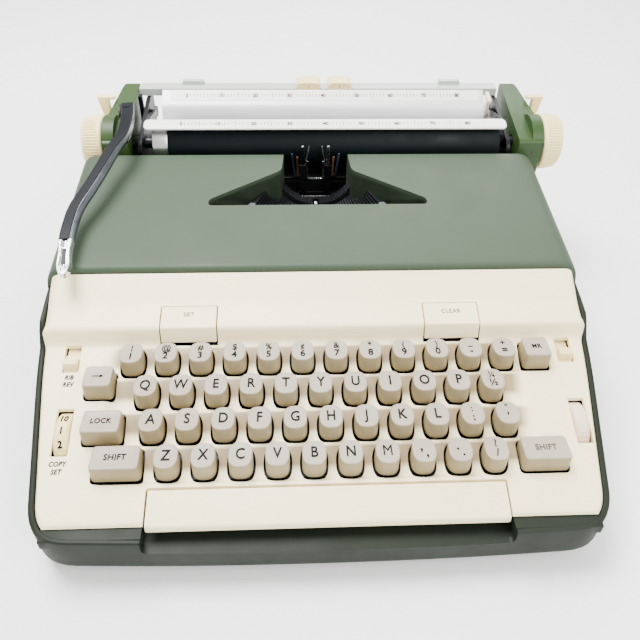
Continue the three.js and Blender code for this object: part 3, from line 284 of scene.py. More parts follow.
def panel_plastic():
    """The panel's cream plastic, with a painted brown shade on the risers between the rows of keys,
    standing in for their shadow and the warm light reflected between the keys.
    """
    n = Nodes("panel_plastic")
    cloud = n.ramp(n.noise(14, 5), 0.38, 0.72, (0, 0, 0), (0.6, 0.6, 0.6))
    base = n.mix(cloud, (0.96, 0.84, 0.54), (0.92, 0.78, 0.43))
    split = n.node("ShaderNodeSeparateXYZ")
    n.link(n.place, split.inputs[0])
    across, deep = split.outputs[0], split.outputs[1]
    row = n.math("FRACT", n.math("DIVIDE", n.math("SUBTRACT", deep, (FRONT_ROW_Y - PITCH * 0.5) * MM),
            PITCH * MM))
    riser = n.math("MULTIPLY", n.step(row, 0.28, 0.52), n.step(row, 1.0, 0.9))
    inside = n.math("MULTIPLY", n.step(deep, (FRONT_ROW_Y - 6) * MM, (FRONT_ROW_Y - 4) * MM),
                    n.step(deep, (RIDGE_Y - 0.5) * MM, (RIDGE_Y - 3) * MM))
    beside = n.math("MULTIPLY", n.step(across, (BODY_X - 119) * MM, (BODY_X - 111) * MM),
                    n.step(across, (BODY_X + 116) * MM, (BODY_X + 108) * MM))
    # Painted shade: this mask darkens and warms the cream on the risers between the keys, in place of real
    # shadow and reflected light.
    riser_shade_mask = n.math("MULTIPLY", n.math("MULTIPLY", riser, inside), n.math("MULTIPLY", beside, 0.85))
    warm = n.mix(riser_shade_mask, base, (0.17, 0.105, 0.035))
    specks = n.ramp(n.noise(700, 3), 0.74, 0.82, (0, 0, 0), (0.3, 0.3, 0.3))
    n.colour(n.mix(specks, warm, (0.4, 0.33, 0.22)))
    n.roughness(n.spread(n.noise(55, 3), 0.38, 0.5))
    n.bump(n.noise(1100, 2), 0.05, 0.3)
    return n.material


# ---------- meshes ----------
class Shape:
    """Collects closed pieces of surface, in millimetres, for one object."""

    def __init__(self):
        self.points = []
        self.faces = []

    def add(self, points, faces):
        start = len(self.points)
        self.points.extend(tuple(p) for p in points)
        self.faces.extend([start + i for i in face] for face in faces)
        return self

    def rings(self, rings, capped=True, looped=False):
        """Skins rings of equally many points; ends are closed with one face each."""
        count = len(rings[0])
        points = [p for ring in rings for p in ring]
        faces = []
        pairs = len(rings) if looped else len(rings) - 1
        for i in range(pairs):
            a = i * count
            b = ((i + 1) % len(rings)) * count
            for j in range(count):
                k = (j + 1) % count
                faces.append([a + j, a + k, b + k, b + j])
        if capped and not looped:
            faces.append(list(range(count))[::-1])
            faces.append([(len(rings) - 1) * count + j for j in range(count)])
        return self.add(points, faces)

    def prism(self, outline, axis, low, high):
        """An outline in the two other axes, in X, Y, Z order, run along axis."""
        return self.rings([[put(axis, a, b, level) for a, b in outline] for level in (low, high)])

    def box(self, x0, x1, y0, y1, z0, z1):
        return self.prism(rectangle(x0, x1, y0, y1), "Z", z0, z1)

    def tube(self, inner, outer, x0, x1, y, z):
        """A hollow cylinder along X around (y, z)."""
        section = ((inner, x0), (outer, x0), (outer, x1), (inner, x1))
        return self.rings([[(x, y + a, z + b) for a, b in circle(r, 28)] for r, x in section],
                looped=True)

    def lathe(self, profile, axis, centre, segments=48, wave=None):
        """profile holds (radius, place along axis); centre is in the two other axes."""
        rings = []
        for radius, along in profile:
            ring = []
            for i in range(segments):
                angle = 2 * math.pi * i / segments
                r = radius + (wave(angle, along) if wave else 0)
                ring.append(put(axis, centre[0] + r * math.cos(angle), centre[1] + r * math.sin(angle),
                        along))
            rings.append(ring)
        return self.rings(rings)

    def sweep(self, path, section, up=(0, 0, 1)):
        """section's points are (across, up) from each point of the path."""
        rings = []
        up = Vector(up)
        for i, here in enumerate(path):
            before = path[max(0, i - 1)]
            after = path[min(len(path) - 1, i + 1)]
            along = (Vector(after) - Vector(before)).normalized()
            across = along.cross(up).normalized()
            lift = across.cross(along).normalized()
            rings.append([Vector(here) + across * a + lift * b for a, b in section])
        return self.rings(rings)

    def mesh(self, name):
        mesh = bpy.data.meshes.new(name)
        mesh.from_pydata([(x * MM, y * MM, z * MM) for x, y, z in self.points], [], self.faces)
        bm = bmesh.new()
        bm.from_mesh(mesh)
        bmesh.ops.recalc_face_normals(bm, faces=bm.faces)
        bm.to_mesh(mesh)
        bm.free()
        return mesh


def put(axis, a, b, along):
    if axis == "X":
        return (along, a, b)
    if axis == "Y":
        return (a, along, b)
    return (a, b, along)


def rounded(corners, radius, steps=5):
    """Corners (a, b) or (a, b, own radius), each replaced by a short curve."""
    points = []
    count = len(corners)
    for i, corner in enumerate(corners):
        here = Vector(corner[:2])
        r = corner[2] if len(corner) > 2 else radius
        if r == 0:
            points.append(tuple(here))
            continue
        before = Vector(corners[i - 1][:2]) - here
        after = Vector(corners[(i + 1) % count][:2]) - here
        start = here + before.normalized() * min(r, before.length * 0.49)
        end = here + after.normalized() * min(r, after.length * 0.49)
        for step in range(steps + 1):
            t = step / steps
            points.append(tuple(start * (1 - t) ** 2 + here * (2 * t * (1 - t)) + end * t ** 2))
    return points


def circle(radius, count):
    angles = [2 * math.pi * i / count for i in range(count)]
    return [(radius * math.cos(angle), radius * math.sin(angle)) for angle in angles]


def rectangle(a0, a1, b0, b1, *more):
    """Four corners; more may hold a rounding radius for each of them."""
    return [(a0, b0, *more), (a1, b0, *more), (a1, b1, *more), (a0, b1, *more)]


def smooth(t):
    t = max(0.0, min(1.0, t))
    return t * t * (3 - 2 * t)


def catmull(points, steps):
    """A smooth path through points, with steps pieces between neighbours."""
    vectors = [Vector(p) for p in points]
    padded = [vectors[0] * 2 - vectors[1]] + vectors + [vectors[-1] * 2 - vectors[-2]]
    path = []
    for i in range(1, len(padded) - 2):
        a, b, c, d = padded[i - 1:i + 3]
        for step in range(steps):
            t = step / steps
            path.append(0.5 * ((2 * b) + (c - a) * t + (2 * a - 5 * b + 4 * c - d) * t ** 2
                               + (3 * b - 3 * c + d - a) * t ** 3))
    path.append(vectors[-1])
    return path


def finish_piece(obj, material, body, bevel=0.0, segments=3, angle=35, slot=None, replaces=()):
    obj.data.materials.clear()
    obj.data.materials.append(material)
    for polygon in obj.data.polygons:
        polygon.use_smooth = True
    if bevel:
        modifier = obj.modifiers.new("edges", "BEVEL")
        modifier.width = bevel * MM
        modifier.segments = segments
        modifier.limit_method = "ANGLE"
        modifier.angle_limit = math.radians(angle)
        modifier.harden_normals = True
    else:
        obj.data.set_sharp_from_angle(angle=math.radians(angle))
    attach(obj, body)
    if replaces:
        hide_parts(*replaces)
    return obj


def link_mesh(name, mesh):
    obj = bpy.data.objects.new(name, mesh)
    bpy.context.scene.collection.objects.link(obj)
    return obj


def piece(name, shape, material, body, **options):
    return finish_piece(link_mesh(name, shape.mesh(name)), material, body, **options)


def from_node(node, body, material, bevel=0.5, segments=3, slot=None, angle=30):
    """A finished copy of a CAD node: flat faces merged and every edge rounded."""
    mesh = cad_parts[node].data.copy()
    bm = bmesh.new()
    bm.from_mesh(mesh)
    bmesh.ops.remove_doubles(bm, verts=bm.verts, dist=0.02 * MM)
    bmesh.ops.dissolve_limit(bm, angle_limit=math.radians(2), verts=bm.verts, edges=bm.edges)
    bm.to_mesh(mesh)
    bm.free()
    if "custom_normal" in mesh.attributes:
        mesh.attributes.remove(mesh.attributes["custom_normal"])
    obj = link_mesh(node + "_finished", mesh)
    return finish_piece(obj, material, body, bevel=bevel, segments=segments, angle=angle, slot=slot,
                        replaces=[node])


def boolean(obj, cutters, operation="DIFFERENCE"):
    for cutter in cutters:
        modifier = obj.modifiers.new("cut", "BOOLEAN")
        modifier.operation = operation
        modifier.solver = "MANIFOLD"
        modifier.object = cutter
        bpy.context.view_layer.update()
        depsgraph = bpy.context.evaluated_depsgraph_get()
        result = bpy.data.meshes.new_from_object(obj.evaluated_get(depsgraph))
        obj.modifiers.clear()
        obj.data = result
    for cutter in cutters:
        bpy.data.objects.remove(cutter)
    return obj


def text(words, place, size, tilt=0.0, depth=0.12, spacing=1.0, slant=0.0, bold=0.0, narrow=0.86):
    """Flat generic lettering centred at place; tilt turns it up about X."""
    curve = bpy.data.curves.new("lettering", "FONT")
    curve.body = words
    curve.size = size * MM
    curve.align_x = "CENTER"
    curve.align_y = "CENTER"
    curve.extrude = depth * MM / 2
    curve.resolution_u = 4
    curve.offset = bold * size * MM
    curve.space_character = spacing
    curve.shear = slant
    holder = bpy.data.objects.new("lettering", curve)
    bpy.context.scene.collection.objects.link(holder)
    bpy.context.view_layer.update()
    mesh = bpy.data.meshes.new_from_object(holder.evaluated_get(bpy.context.evaluated_depsgraph_get()))
    bpy.data.objects.remove(holder)
    mesh.transform(Matrix.Translation(Vector(place) * MM)
                   @ Matrix.Rotation(tilt, 4, "X") @ Matrix.Scale(narrow, 4, (1, 0, 0)))
    return mesh


def join_meshes(name, meshes):
    bm = bmesh.new()
    for mesh in meshes:
        bm.from_mesh(mesh)
    joined = bpy.data.meshes.new(name)
    bm.to_mesh(joined)
    bm.free()
    return link_mesh(name, joined)


# ---------- places, taken from the frame ----------
def low(node):
    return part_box(node)[0] / MM


def high(node):
    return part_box(node)[1] / MM


BODY_X = (low("base_case").x + high("base_case").x) / 2
HALF = (high("base_case").x - low("base_case").x) / 2
PITCH = 19.05
ROW_RISE = 5.87
SLOPE = ROW_RISE / PITCH
FRONT_TAPER = 13.0
SIDE_BEND = 30.0
CORNER = 20.0
TILT = math.atan(SLOPE)
FRONT_ROW_Y = -126.0
FRONT_ROW_TOP = high("shift_key_left").z
KEY_SHOW = 8.35
HUB_INNER = 3.3
HUB_OUTER = 6.9
KEY_HALF_X = 6.3
KEY_HALF_Y = 7.7
SLOT_Y = {"power_switch": -65.5, "ribbon_switch": -66.0, "copy_set_wheel": -107.45,
        "touch_wheel": -106.95}
FIRST_X = BODY_X + 0.3 - 5.5 * PITCH
SHAFT = (78.0, (low("key_shaft").z + high("key_shaft").z) / 2)
LEVER_Z = low("key_column_5tgb").z
LEVER_TOP = LEVER_Z + 6
RIDGE_Y = FRONT_ROW_Y + 3 * PITCH + 11.35
RIDGE_TOP_Y = RIDGE_Y + 17.5
COVER_FRONT = low("ribbon_cover").y
COVER_REAR = high("ribbon_cover").y
COVER_REAR_Z = high("ribbon_cover").z
COVER_SLOPE = 12.6 / 113
PLATEN_Y = (low("platen").y + high("platen").y) / 2
PLATEN_Z = (low("platen").z + high("platen").z) / 2
TYPE_X = BODY_X + 3.5


def panel_z(y):
    return FRONT_ROW_TOP - KEY_SHOW + (y - FRONT_ROW_Y) * SLOPE


def cover_z(y):
    return COVER_REAR_Z + (y - COVER_REAR) * COVER_SLOPE


ROW_SHIFT = (1.25, 0.75, 0.5, 0.0)
COLUMN_NAMES = ("1qaz", "2wsx", "3edc", "4rfv", "5tgb", "6yhn", "7ujm", "8ik", "9ol", "0p", "signs")
LEGENDS = (
    ("Z", "X", "C", "V", "B", "N", "M", ", ,", ". .", "? /"),
    ("A", "S", "D", "F", "G", "H", "J", "K", "L", ": ;", '" \''),
    ("Q", "W", "E", "R", "T", "Y", "U", "I", "O", "P", "¼ ½"),
    ("! 1", "@ 2", "# 3", "$ 4", "% 5", "¢ 6", "& 7", "* 8", "( 9", ") 0", "_ -", "+ ="),
)


def key_place(row, index):
    return (FIRST_X + (ROW_SHIFT[row] + index) * PITCH, FRONT_ROW_Y + row * PITCH,
            FRONT_ROW_TOP + row * ROW_RISE)


def column_keys(column):
    if column < 10:
        return [(row, column) for row in range(4)]
    return [(1, 10), (2, 10), (3, 10), (3, 11)]


WIDE_KEYS = {
    "tab_key": (-24, -9, 2.31, -19.5, "", 0),
    "lock_key": (-21.5, -1.5, 1, -13.5, "LOCK", 4.5),
    "shift_key_left": (-14.1, 10.5, 0, -7.5, "SHIFT", 5.0),
    "shift_key_right": (209.25, 233.75, 0, 216.75, "SHIFT", 5.0),
    "margin_release_key": (221.25, 235.75, 3, 228.75, "MR", 4.4),
}


# ---------- keys ----------
def add_lever(shape, x, front_y, stems, bridges=()):
    half = 1.4
    y, z = SHAFT
    outline = [(front_y, LEVER_Z + 0.3), (y + 5.5, LEVER_Z + 0.3), (y + 5.5, z - 2), (y - 5.5, z - 2),
               (y - 9, LEVER_TOP - 0.2), (front_y, LEVER_TOP - 0.2)]
    shape.prism(rounded(outline, 1.2, 3), "X", x - half, x + half)
    shape.tube(HUB_INNER, HUB_OUTER, x - 1.5, x + 1.5, y, z)
    for sx, sy, top in stems:
        shape.box(sx - half, sx + half, sy - 3.8, sy + 3.8, LEVER_Z + 1, top)
    for x0, x1, by in bridges:
        shape.box(x0, x1, by - 3.6, by + 3.6, LEVER_Z + 0.6, LEVER_TOP - 0.5)


def cap_outline(x, y, half_x, half_y, count=44):
    """An outline between an oval and a rectangle, as the letter keys have."""
    power = 0.76
    outline = []
    for i in range(count):
        angle = 2 * math.pi * i / count
        c, s = math.cos(angle), math.sin(angle)
        outline.append((x + half_x * math.copysign(abs(c) ** power, c),
                y + half_y * math.copysign(abs(s) ** power, s)))
    return outline


def round_cap(shape, x, y, top):
    """A letter key: a dished top with a soft rim on a block that widens downwards."""
    rings = []
    for inset, z in ((6.1, top - 0.5), (4.4, top - 0.46), (2.6, top - 0.3), (1.2, top - 0.06),
            (0.7, top - 0.02),
                     (0.35, top - 0.14), (0.12, top - 0.4), (0.02, top - 0.9), (-0.02, top - 3.5),
                             (-0.06, top - 7.5),
                     (-0.08, top - 11.0), (0.2, top - 11.3)):
        rings.append([(px, py, z) for px, py in cap_outline(x, y, KEY_HALF_X - inset,
                KEY_HALF_Y - inset)])
    shape.rings(rings[::-1])


def wide_cap(shape, x0, x1, y, top, height):
    half_y = 7.4
    cx, half_x = (x0 + x1) / 2, (x1 - x0) / 2
    rings = []
    for inset, z in ((3.2, top - 0.45), (1.8, top - 0.2), (0.9, top - 0.02), (0.35, top - 0.15),
            (0.05, top - 0.6),
                     (-0.15, top - 3), (-0.35, top - height + 0.4), (-0.1, top - height)):
        a, b = half_x - inset, half_y - inset
        corner = max(0.8, 2.4 - inset * 0.5)
        outline = rounded(rectangle(cx - a, cx + a, y - b, y + b), corner, 6)
        rings.append([(px, py, z) for px, py in outline])
    shape.rings(rings)


def shade_cap_sides(obj):
    """The sides of the caps get a darker, warmer copy of the key plastic, chosen by face direction: painted
    shade and light reflected from the cream panel.
    """
    obj.data.materials.append(KEY_SIDE_SHADE)
    for polygon in obj.data.polygons:
        polygon.material_index = 1 if polygon.normal.z < 0.45 else 0
    return obj


def legend_meshes(words, x, y, top):
    z = top - 0.36
    if len(words) == 1:
        bold = 0.0 if words == "M" else 0.012
        return [text(words, (x, y + 0.2, z), 9.3, depth=0.5, narrow=0.78, bold=bold)]
    upper, lower = words.split(" ")
    if upper in (",", "."):
        return [text(upper, (x - 1.3, y + 2.6, z), 9.0, depth=0.5, bold=0.01),
                text(lower, (x + 1.3, y - 1.2, z), 9.0, depth=0.5, bold=0.01)]
    return [text(upper, (x, y + 3.2, z), 6.2, depth=0.5, narrow=0.86, bold=0.008),
            text(lower, (x, y - 2.7, z), 6.8, depth=0.5, narrow=0.9, bold=0.012)]


def build_keys():
    for column, column_name in enumerate(COLUMN_NAMES):
        body = "key_column_" + column_name
        x = FIRST_X + (column + 0.5) * PITCH
        levers, caps, letters = Shape(), Shape(), []
        stems, bridges = [], []
        keys = [(row, index, key_place(row, index)) for row, index in column_keys(column)]
        for row, index, (kx, ky, top) in keys:
            near = abs(kx - x) < 5
            stems.append((x if near else kx, ky, top - 10.5))
            if not near:
                bridges.append((min(x, kx) - 1.4, max(x, kx) + 1.4, ky))
            round_cap(caps, kx, ky, top)
            letters += legend_meshes(LEGENDS[row][index], kx, ky, top)
        add_lever(levers, x, min(k[2][1] for k in keys) - 3.8, stems, bridges)
        piece("key_lever_" + column_name, levers, DARK, body, bevel=0.2, segments=2, slot="key_grey",
              replaces=[body])
        shade_cap_sides(piece("key_caps_" + column_name, caps, KEY_GREY, body, slot="key_grey", angle=60))
        marks = join_meshes("key_legends_" + column_name, letters)
        finish_piece(marks, LEGEND, body, slot="key_grey")
    for name, (left, right, row, lever, words, size) in WIDE_KEYS.items():
        y = FRONT_ROW_Y + row * PITCH
        top = FRONT_ROW_TOP + row * ROW_RISE
        shallow = name.startswith("shift")
        height = top - LEVER_TOP - 5.1 if shallow else 11.3
        levers, cap = Shape(), Shape()
        add_lever(levers, FIRST_X + lever, y - 3.8, [(FIRST_X + lever, y, top - height + 0.6)])
        wide_cap(cap, FIRST_X + left, FIRST_X + right, y, top, height)
        piece(name + "_lever", levers, DARK, name, bevel=0.2, segments=2, slot="key_grey",
                replaces=[name])
        shade_cap_sides(piece(name + "_cap", cap, KEY_GREY, name, slot="key_grey", angle=60))
        middle = FIRST_X + (left + right) / 2
        if words:
            marks = join_meshes(name + "_legend", [text(words, (middle, y, top - 0.3), size, depth=0.4,
                    spacing=1.08, bold=0.012)])
        else:
            arrow = Shape()
            outline = [(-3, -0.2), (1.2, -0.2), (1.2, -0.95), (3, 0), (1.2, 0.95), (1.2, 0.2), (-3, 0.2)]
            arrow.prism([(middle + a, y + b) for a, b in outline], "Z", top - 0.5, top - 0.1)
            marks = link_mesh(name + "_legend", arrow.mesh("arrow"))
        finish_piece(marks, LEGEND if name != "shift_key_right" else PALE_LEGEND, name, slot="key_grey")


# ---------- keyboard panel ----------
def plan_corners(inset):
    """The case's plan, inset from its outside: straight tapering sides and a bowed front."""
    y0 = low("base_case").y + 3.6 + inset
    y1 = high("base_case").y - inset
    half, radius = HALF - inset, CORNER - inset
    front = half - FRONT_TAPER
    quarter = y0 - 3.6 * 0.8
    return [(-front, y0, radius), (-front / 2, quarter, 40), (0, y0 - 3.6, 60), (front / 2, quarter, 40),
            (front, y0, radius), (half, RIDGE_Y, SIDE_BEND), (half, y1, radius), (0, y1, 0),
                    (-half, y1, radius),
            (-half, RIDGE_Y, SIDE_BEND)]


def half_table(inset):
    """The plan's half width against Y, read from the right-hand side of its outline."""
    right = [p for p in rounded(plan_corners(inset), 0, 12) if p[0] > 20]
    right.sort(key=lambda p: p[1])
    rear = max(y for _x, y in right) - CORNER * 1.2
    return [(y, x) for x, y in right if y < rear]


def read_table(table, y):
    if y <= table[0][0]:
        return table[0][1]
    for (y0, x0), (y1, x1) in zip(table, table[1:]):
        if y <= y1:
            return x0 + (x1 - x0) * (y - y0) / max(y1 - y0, 1e-6)
    return table[-1][1]


def terrace(x, y):
    """Each row of keys stands in its own step: a flat strip in front and a riser behind."""
    share = (y - FRONT_ROW_Y) / PITCH + 0.5
    row = math.floor(share)
    if not 0 <= row <= 3:
        return 0.0
    part = share - row
    drop = 1.9 * (smooth(part / 0.12) if part < 0.12 else 1 - smooth((part - 0.2) / 0.75))
    ends = ((-112.5, 92), (-114, 114), (-112, 112), (-117, 130))[row]
    beyond = max(BODY_X + ends[0] - x, x - BODY_X - ends[1], 0.0)
    return drop * smooth(1 - beyond / 6.0)


def panel_profile():
    foot = panel_z(RIDGE_Y)
    front_y = low("keyboard_panel").y
    corners = [(front_y, panel_z(front_y), 0), (RIDGE_Y, foot, 2.5), (RIDGE_Y + 2.5, foot + 10, 2.0),
               (RIDGE_TOP_Y, foot + 14, 3), (COVER_FRONT - 0.6, cover_z(COVER_FRONT) - 3.5, 0)]
    outline = []
    for i, (y, z, r) in enumerate(corners):
        if r == 0:
            outline.append((y, z))
            continue
        here = Vector((y, z))
        before = (Vector(corners[i - 1][:2]) - here).normalized() * r + here
        after = (Vector(corners[i + 1][:2]) - here).normalized() * r + here
        outline += [tuple(before * (1 - t) ** 2 + here * 2 * t * (1 - t) + after * t * t) for t in (0,
                0.25, 0.5, 0.75, 1)]
    return outline


def resample(outline, step):
    points = [outline[0]]
    for a, b in zip(outline, outline[1:]):
        a, b = Vector(a), Vector(b)
        count = max(1, round((b - a).length / step))
        points += [tuple(a.lerp(b, i / count)) for i in range(1, count + 1)]
    return points


def build_panel():
    rows = resample(panel_profile(), 1.2)
    front_y = rows[0][0]
    rows = [(front_y + d, panel_z(front_y + d)) for d in (0, 0.12, 0.45, 1.0)] + rows[1:]
    table = half_table(3.5)
    columns = 240
    floor_z = low("keyboard_panel").z + 0.3
    top, under = [], []
    for y, z in rows:
        half = read_table(table, y)
        half_ahead = read_table(table, y + 1.0)
        lean = 1 / math.hypot(1, half_ahead - half)
        on_ridge = smooth((y - RIDGE_Y - 2) / 6)
        roll = 2.2 + 3.5 * on_ridge
        line_top, line_under = [], []
        for i in range(columns + 1):
            t = 2 * i / columns - 1
            x = BODY_X + half * t
            side = max(half * (1 - abs(t)) * lean, 0.0)
            front = y - front_y
            fall = 0.0
            for distance, radius in ((side, roll), (front, 2.2)):
                if distance < radius:
                    fall += radius * (1 - math.sqrt(max(0.0, 1 - (1 - distance / radius) ** 2)))
            pz = z - (terrace(x, y) if y < RIDGE_Y - 0.5 else 0.0) - min(fall, radius + 3)
            pz = max(pz, floor_z + 0.4)
            line_top.append((x, y, pz))
            inner_x = BODY_X + (half - 1.8) * t
            line_under.append((inner_x, max(y, front_y + 1.8), max(pz - 2.4, floor_z)))
        top.append(line_top)
        under.append(line_under)
    width = columns + 1
    points = [p for line in top for p in line] + [p for line in under for p in line]
    count = len(rows)
    base = count * width
    faces = []
    for i in range(count - 1):
        for j in range(columns):
            a = i * width + j
            faces.append([a, a + 1, a + 1 + width, a + width])
            faces.append([base + a, base + a + width, base + a + 1 + width, base + a + 1])
    for i in range(count - 1):
        for j, flip in ((0, False), (columns, True)):
            a = i * width + j
            wall = [a, a + width, base + a + width, base + a]
            faces.append(wall[::-1] if flip else wall)
    for j in range(columns):
        for a, flip in ((j, True), ((count - 1) * width + j, False)):
            wall = [a, a + 1, base + a + 1, base + a]
            faces.append(wall[::-1] if not flip else wall)
    panel = link_mesh("panel_shell", Shape().add(points, faces).mesh("panel_shell"))
    cutter = Shape()
    for row, legends in enumerate(LEGENDS):
        for index in range(len(legends)):
            x, y, z = key_place(row, index)
            cutter.prism(cap_outline(x, y - 0.1, KEY_HALF_X + 1.25, KEY_HALF_Y + 1.2, 48), "Z", 20, z + 8)
    holes = link_mesh("holes", cutter.mesh("holes"))
    boxes = Shape()
    for name, (left, right, row, *_rest) in WIDE_KEYS.items():
        y = FRONT_ROW_Y + row * PITCH
        x0, x1 = FIRST_X + left - 1.3, FIRST_X + right + 1.3
        boxes.prism(rounded(rectangle(x0, x1, y - 8.9, y + 8.8), 3, 5), "Z", 20, 95)
    for name in ("tab_set_key", "tab_clear_key"):
        lo, hi = low(name), high(name)
        boxes.box(lo.x - 0.75, hi.x + 0.75, lo.y - 1.0, hi.y + 0.7, 50, 95)
    for name, length in (("power_switch", 15), ("ribbon_switch", 16), ("copy_set_wheel", 25.5),
            ("touch_wheel", 25.2)):
        x = (low(name).x + high(name).x) / 2
        y = SLOT_Y[name]
        slot = rectangle(x - 4.5, x + 4.5, y - length / 2, y + length / 2)
        boxes.prism(rounded(slot, 0.6, 3), "Z", 20, 95)
    lo, hi = low("space_bar"), high("space_bar")
    boxes.prism(rounded([(lo.x - 1.2, -170, 0), (hi.x + 1.2, -170, 0), (hi.x + 1.2, -137.1, 1.5),
            (lo.x - 1.2, -137.1, 1.5)], 2, 4),
                "Z", 15, 60)
    slots = link_mesh("slots", boxes.mesh("slots"))
    boolean(panel, [holes, slots])
    finish_piece(panel, panel_plastic(), "machine", angle=40, slot="panel_cream",
            replaces=["keyboard_panel"])


def build_panel_marks():
    marks = []
    for words, x, y in (("RIB", -139, -77.0), ("REV", -139, -81.0), ("COPY", -137.5, -124.2),
            ("SET", -137.5, -128.2)):
        place = (BODY_X + x, y, panel_z(y) + 0.06)
        marks.append(text(words, place, 3.6, tilt=TILT, depth=0.24, spacing=1.12, slant=0.2, bold=0.04))
    finish_piece(join_meshes("panel_labels", marks), LEGEND, "machine", slot="panel_cream")


# ---------- case and cover ----------
def case_outline(inset):
    dense = []
    outline = rounded(plan_corners(inset), 0, 8)
    count = len(outline)
    for i, a in enumerate(outline):
        b = outline[(i + 1) % count]
        pieces = max(1, round((Vector(b) - Vector(a)).length / 4))
        dense.append((a, b, pieces))
    return dense


def spread_outline(dense, plan):
    """Samples an outline with the same number of pieces on each side as the plan gives."""
    points = []
    for (a, b, _own), pieces in zip(dense, plan):
        points += [tuple(Vector(a).lerp(Vector(b), i / pieces)) for i in range(pieces)]
    return points


RIM_LINE = ((-170, 33), (-154, 33), (-151, panel_z(-151) - 1.2), (RIDGE_Y, panel_z(RIDGE_Y) - 1.2),
            (RIDGE_Y + 10, panel_z(RIDGE_Y) + 9), (COVER_FRONT, 78), (COVER_REAR, 78),
                    (COVER_REAR + 4, 76), (170, 76))


def rim_z(y):
    for (y0, z0), (y1, z1) in zip(RIM_LINE, RIM_LINE[1:]):
        if y <= y1:
            return z0 + (z1 - z0) * (max(y, y0) - y0) / (y1 - y0)
    return RIM_LINE[-1][1]


def build_case():
    outer = case_outline(0)
    plan = [pieces for _a, _b, pieces in outer]
    rings = []

    def ring(inset, z=None, over=0.0):
        points = spread_outline(case_outline(inset), plan)
        rings.append([(BODY_X + x, y, z if z is not None else rim_z(y) - over) for x, y in points])

    roll = 9.0
    for step in range(7):
        angle = math.pi / 2 * step / 6
        ring(roll * (1 - math.sin(angle)), 5 + roll * (1 - math.cos(angle)))
    ring(0.0, over=1.4)
    ring(0.25, over=0.5)
    ring(1.0, over=0.0)
    ring(2.4, over=0.0)
    ring(3.0, over=0.6)
    ring(3.0, over=9.0)
    ring(3.0, z=17.0)
    ring(roll + 2, z=8.0)
    shape = Shape().rings(rings)
    case = link_mesh("case_shell", shape.mesh("case_shell"))
    ledge = Shape()
    ledge.prism(rounded([(-161.5, 26), (-161.5, 32.6), (-150.0, 32.6), (-150.0, 26)], 0.8, 3), "X",
            BODY_X - 141, BODY_X + 141)
    cut = Shape()
    lo, hi = low("space_bar"), high("space_bar")
    cut.prism(rounded([(lo.x - 1.6, 24.5, 2.5), (hi.x + 1.6, 24.5, 2.5), (hi.x + 1.6, 45, 0),
            (lo.x - 1.6, 45, 0)], 2, 4), "Y", -175, -149.5)
    inlet_lo, inlet_hi = low("power_inlet"), high("power_inlet")
    cut.box(inlet_lo.x - 0.3, inlet_hi.x + 0.3, inlet_hi.y - 3, 172, inlet_lo.z - 0.3, inlet_hi.z + 0.3)
    shelf = Shape().prism([(-163, 20.5), (-163, 24.2), (-152.6, 24.5), (-152.6, 21.5)], "X", lo.x - 3,
            hi.x + 3)
    boolean(case, [link_mesh("ledge", ledge.mesh("ledge"))], "UNION")
    boolean(case, [link_mesh("notch", cut.mesh("notch"))])
    boolean(case, [link_mesh("shelf", shelf.mesh("shelf"))], "UNION")
    finish_piece(case, CASE, "machine", angle=32, slot="case_green", replaces=["base_case"])


def build_space_bar():
    lo, hi = low("space_bar"), high("space_bar")
    rear_y = FRONT_ROW_Y - 12.5
    z = panel_z(rear_y) + 0.6
    line = [(rear_y, z - 5.5, 0), (rear_y, z, 0.7), (rear_y - 9, z - 2.65, 0),
            (rear_y - 17.9, z - 5.5, 1.4),
            (rear_y - 18.5, z - 9.3, 0.4), (rear_y - 16.8, z - 9.4, 0), (rear_y - 16.2, z - 7.0, 0),
                    (rear_y - 2, z - 2.4, 0),
            (rear_y - 2, z - 5.5, 0)]
    outline = rounded(line, 0, 6)
    middle_y, middle_z = rear_y - 9, z - 5
    rings = []
    for inset, shrink in ((0.0, 0.97), (0.25, 0.985), (0.9, 1.0)):
        rings.append([(lo.x + inset, middle_y + (y - middle_y) * shrink,
                middle_z + (pz - middle_z) * shrink) for y, pz in outline])
    rings += [[(lo.x + hi.x - x, y, pz) for x, y, pz in ring] for ring in rings[::-1]]
    bar = Shape().rings(rings)
    piece("space_bar_top", bar, CREAM, "space_bar", slot="panel_cream", angle=40, replaces=["space_bar"])
    arms = Shape()
    y, hub_z = SHAFT
    for column in (1, 8):
        x = FIRST_X + (column + 1) * PITCH
        outline = [(rear_y - 11, z - 6), (rear_y - 11, lo.z), (y + 6, lo.z), (y + 6, hub_z - 2),
                (y - 6, hub_z - 2), (y - 6, lo.z + 8),
                   (rear_y - 3, lo.z + 8), (rear_y - 3, z - 3)]
        arms.prism(rounded(outline, 1.2, 3), "X", x - 1.4, x + 1.4)
        arms.tube(HUB_INNER, HUB_OUTER, x - 1.5, x + 1.5, y, hub_z)
    piece("space_bar_arms", arms, STEEL, "space_bar", slot="panel_cream", bevel=0.2, segments=2)


def mouth_outline(grow=0.0):
    tip_y = COVER_REAR - 56
    shoulder_y = COVER_REAR - 19
    right = [(71.5 + grow, tip_y - grow, 3), (71.5 + grow, tip_y + 6 + grow, 3),
            (24 + grow, shoulder_y + grow, 4),
             (22 + grow, COVER_REAR + 6, 0)]
    left = [(-x, y, r) for x, y, r in right[::-1]]
    return [(TYPE_X + a, b) for a, b in rounded(right + left, 3, 5)]


